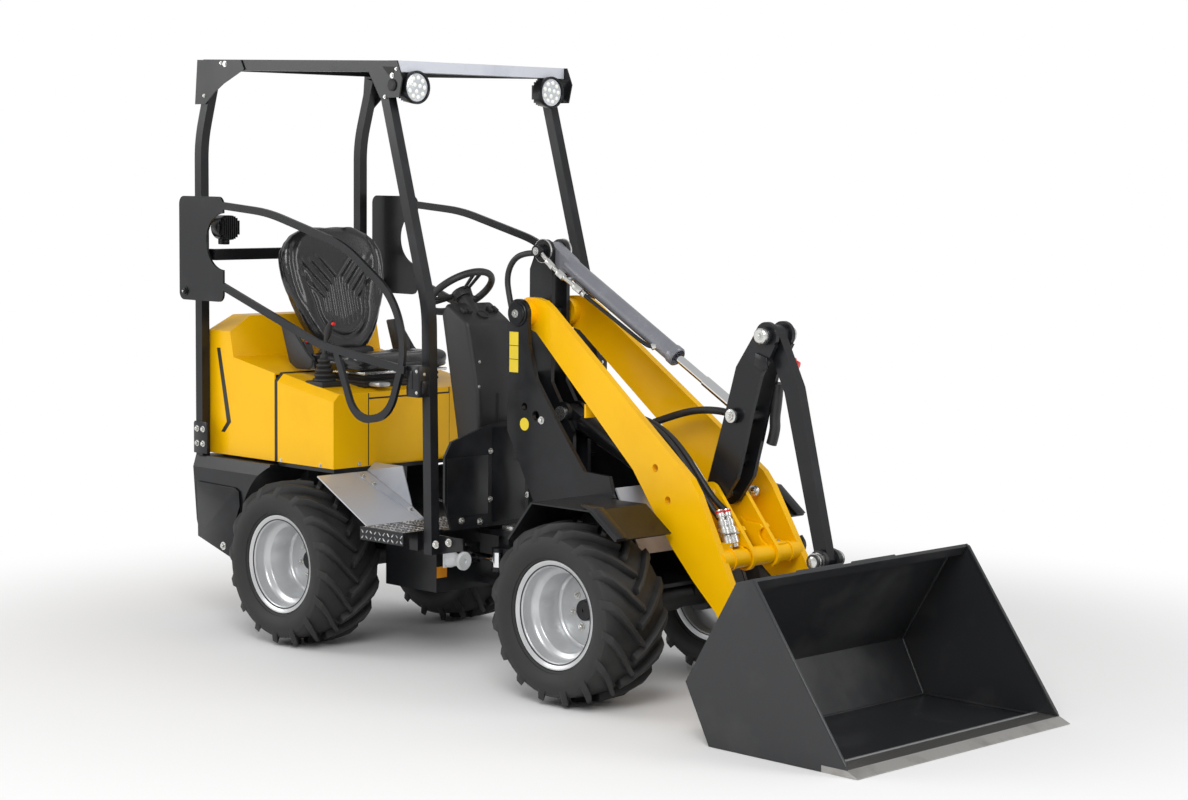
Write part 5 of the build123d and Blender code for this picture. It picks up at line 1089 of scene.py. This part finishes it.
made(collars, "pin_collars", black_paint, "front")
bands = bmesh.new()
for outward in (-1, 1):
    turned(
        bands, ((0, 38.2), (0, 39.8), (6, 39.8), (6, 38.2)), axis=(0, outward, 0), centre=(867, outward * 43, 1391),
        steps=48,
    )
made(bands, "head_bands", zinc, "front")


# Tilt cylinder's plumbing: plated fittings from the swivel to a black steel pipe that
# runs along the barrel to its front port, with a clip and a hexagon gland.
def pipe(name, route, radius, finish, body):
    """A bent pipe through a few places, given in millimetres from the rear axle."""
    curve = bpy.data.curves.new(name, "CURVE")
    curve.dimensions = "3D"
    curve.bevel_depth = radius / 1000
    curve.bevel_resolution = 5
    curve.use_fill_caps = True
    line = curve.splines.new("NURBS")
    line.points.add(len(route) - 1)
    for knot, (x, y, z) in zip(line.points, route):
        knot.co = ((x - MIDDLE_X) / 1000, y / 1000, z / 1000, 1)
    line.order_u = 3
    line.use_endpoint_u = True
    curve.materials.append(finish)
    piece = bpy.data.objects.new(name, curve)
    bpy.context.collection.objects.link(piece)
    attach(piece, body)
    return piece


pipe(
    "barrel_pipe",
    (
        (1040, -40, 1262), (1060, -41, 1250), (1120, -41, 1219), (1230, -40, 1160), (1330, -40, 1107),
        (1352, -34, 1100), (1362, -26, 1102),
    ),
    6.5, black_paint, "tilt_barrel",
)
pipe(
    "barrel_elbow", ((880, -66, 1384), (915, -64, 1352), (960, -56, 1315), (1005, -46, 1286), (1040, -40, 1262)), 7.5,
    zinc, "tilt_barrel",
)
nuts = bmesh.new()
for start, end, radius in (
    ((905, -64, 1360), (932, -61, 1337), 12), ((948, -58, 1324), (972, -53, 1307), 13),
    ((1012, -45, 1281), (1040, -40, 1263), 12), ((1046, -40, 1258), (1060, -40, 1251), 10),
    ((985, -50, 1298), (985, -20, 1306), 8), ((1352, -34, 1099), (1362, -20, 1104), 11),
):
    bar(nuts, start, end, radius, sides=6, edge=0.8)
made(nuts, "barrel_fittings", zinc, "tilt_barrel", sharp=25)
TILT_HEAD, TILT_EYE = (867, 0, 1391), (1720, 0, 909)
tilt_way = (Vector(TILT_EYE) - Vector(TILT_HEAD)).normalized()
gland = bmesh.new()
turned(
    gland, ((628, 27), (628, 31.5), (632, 32.5), (650, 32.5), (653, 30), (655, 27)), axis=tilt_way, centre=TILT_HEAD,
    steps=56,
)
# The gland takes the barrel's paint, whose light grey is a painted sky reflection.
made(gland, "tilt_gland", barrel_painted_sheen, "tilt_barrel")


# Boom fittings: two plated quick couplers with red rings at the ends of two hoses, hooked
# ribs by the cross tube, a small bracket on it, and a clamped hose higher up.
coupler_way = Vector((27, 0, -72)).normalized()
couplers = bmesh.new()
COUPLER = (
    (-34, 6), (-34, 11.5), (-26, 13), (-12, 13), (-10, 10.5), (-2, 10.5), (0, 15.5), (16, 15.5), (17, 13.6),
    (24, 13.6), (25, 17.5), (44, 17.5), (45, 14), (52, 14), (53, 16), (74, 16), (76, 12), (86, 11), (87, 6),
)
for y in (-127, -96):
    turned(couplers, COUPLER, axis=coupler_way, centre=(1745, y, 592), steps=36)
brick(couplers, (1742, -146, 556), (1776, -78, 562), edge=1.5, turn=Matrix.Rotation(math.radians(20), 3, "Y"))
turned(
    couplers, ((0, 5), (0, 13), (14, 14), (16, 18), (30, 18), (32, 12), (44, 10), (45, 5)), axis=(0.3, -0.6, 0.2),
    centre=(1640, 150, 646), steps=32,
)
made(couplers, "quick_couplers", zinc, "boom")
pipe("second_hose", (
    (1151.5, -47, 885), (1230, -54, 884), (1340, -63, 876), (1450, -76, 848), (1545, -88, 790), (1625, -96, 712),
    (1690, -96, 642), (1735, -96, 619),
), 10, hose_cover, "boom")
rings = bmesh.new()
for y in (-127, -96):
    turned(
        rings, ((-30, 13.2), (-30, 14.4), (-24, 14.4), (-24, 13.2)), axis=coupler_way,
        centre=(1745, y, 592), steps=36,
    )
made(rings, "coupler_rings", red_plastic, "boom")
ribs = bmesh.new()
RIB = (
    (1676, 584), (1696, 572), (1758, 568), (1767, 558), (1754, 544), (1754, 532), (1766, 516), (1788, 506),
    (1772, 470), (1738, 492), (1700, 540),
)
for outward in (-1, 1):
    plate(ribs, RIB, outward * 65.2, outward * 75, edge=1.5)
    plate(ribs, RIB, outward * 36, outward * 46, edge=1.5)
for y in (-132, -60, 60, 132):
    turned(ribs, ((-5, 29), (-5, 34), (5, 34), (5, 29)), axis=(0, 1, 0), centre=(1784, y, 476), steps=40)
brick(ribs, (1764, 78, 498), (1800, 116, 512), edge=1.5, turn=Matrix.Rotation(math.radians(12), 3, "Y"))
made(ribs, "boom_ribs", yellow_paint, "boom")
bolts("boom_screws", "boom", [((1782, 97, 511), (0.2, 0, 1), 10, 5)])
pipe(
    "clamp_hose", ((1700, 96, 866), (1600, 88, 900), (1480, 70, 905), (1380, 52, 880), (1300, 40, 850)), 12,
    hose_cover, "boom",
)


# Tilt crank and link: bright washers and screws at the pins, a sleeve of hoses tied to
# the crank's back, and the two dust caps of the third circuit in red and blue.
crank_screws = bmesh.new()
for outward in (-1, 1):
    turned(
        crank_screws, ((0, 0), (0, 21), (5, 21), (6, 14), (11, 13), (12, 0)), axis=(0, outward, 0),
        centre=(1720, outward * 61.2, 909), closed=False, steps=40,
    )
    add_bolt(crank_screws, (1720, outward * 72, 909), (0, outward, 0), 14, 6)
    turned(
        crank_screws, ((0, 0), (0, 24), (6, 24), (9, 20), (9, 0)), axis=(0, outward, 0),
        centre=(1841, outward * 67.2, 1162), closed=False, steps=40,
    )
    add_bolt(crank_screws, (1841, outward * 76, 1162), (0, outward, 0), 18, 7)
made(crank_screws, "crank_screws", zinc, "crank")
crank_tabs = bmesh.new()
plate(crank_tabs, ((1806, 1108), (1850, 1096), (1856, 1064), (1832, 1052), (1800, 1070)), -52, -46, edge=1)
made(crank_tabs, "crank_tab", black_paint, "crank", "arm_paint")
pipe(
    "crank_sleeve", ((1812, 52, 1010), (1802, 58, 950), (1790, 62, 900), (1794, 62, 862), (1780, 60, 818)), 17,
    hose_cover, "crank",
)
blue_plastic = finish_of("blue_plastic", (0.05, 0.05, 0.55), (0.04, 0.04, 0.42), 0.3, 0.4, relief=0.05)
red_caps, blue_caps = bmesh.new(), bmesh.new()
for shape, z in ((red_caps, 1080), (blue_caps, 1050)):
    turned(
        shape, ((0, 0), (0, 19), (10, 21), (26, 20), (30, 15), (44, 13), (46, 0)), axis=(0.75, 0.2, -0.25),
        centre=(1840, 54, z), closed=False, steps=32,
    )
made(red_caps, "dust_cap_red", red_plastic, "crank")
made(blue_caps, "dust_cap_blue", blue_plastic, "crank")
link_washers = bmesh.new()
for outward in (-1, 1):
    turned(
        link_washers, ((0, 12), (0, 27), (4, 27), (5, 22), (14, 22), (15, 27), (20, 27), (21, 12)),
        axis=(0, outward, 0), centre=(2054, outward * 36.5, 492), steps=40,
    )
    turned(
        link_washers, ((0, 0), (0, 17), (5, 17), (7, 12), (7, 0)), axis=(0, outward, 0),
        centre=(2054, outward * 57, 492), closed=False, steps=32,
    )
made(link_washers, "link_washers", zinc, "bucket")


# Fenders, bucket and cutting edge: the fenders' raised front tips, and on the bucket the
# weld beads inside its corners, a folded rim on each side plate and a bright lip.
for side in ("left", "right"):
    outward = 1 if side == "left" else -1
    tip = bmesh.new()
    plate(
        tip, ((1478, 625.5), (1596, 545.5), (1606, 551), (1500, 634), (1440, 640)), outward * 396, outward * 440,
        edge=1,
    )
    made(tip, f"fender_tip_{side}", black_paint, "front")
lip = bmesh.new()
plate(lip, ((2478, 20.4), (2586, 4.4), (2587, 5.2), (2480, 21.4)), -508, 508, edge=0)
lip_steel = finish_of(
    "lip_steel", (0.66, 0.67, 0.68), (0.42, 0.42, 0.42), 0.28, 0.42, metal=0.6, scale=200, relief=0.3, patch=9,
)
made(lip, "worn_lip", lip_steel, "bucket")
beads = bmesh.new()
for outward in (-1, 1):
    for start, end in (((1966, 176), (2052, 12)), ((2052, 12), (2470, 12)), ((1966, 180), (2140, 470))):
        bar(beads, (start[0], outward * 501, start[1]), (end[0], outward * 501, end[1]), 5, sides=10)
    plate(
        beads, ((2206, 507), (2214, 504), (2556, 30), (2552, 24), (2546, 24), (2204, 500)), outward * 500,
        outward * 510.6, edge=1,
    )
bar(beads, (2054, -500, 11), (2054, 500, 11), 5, sides=10)
made(beads, "bucket_beads", bucket_paint, "bucket")
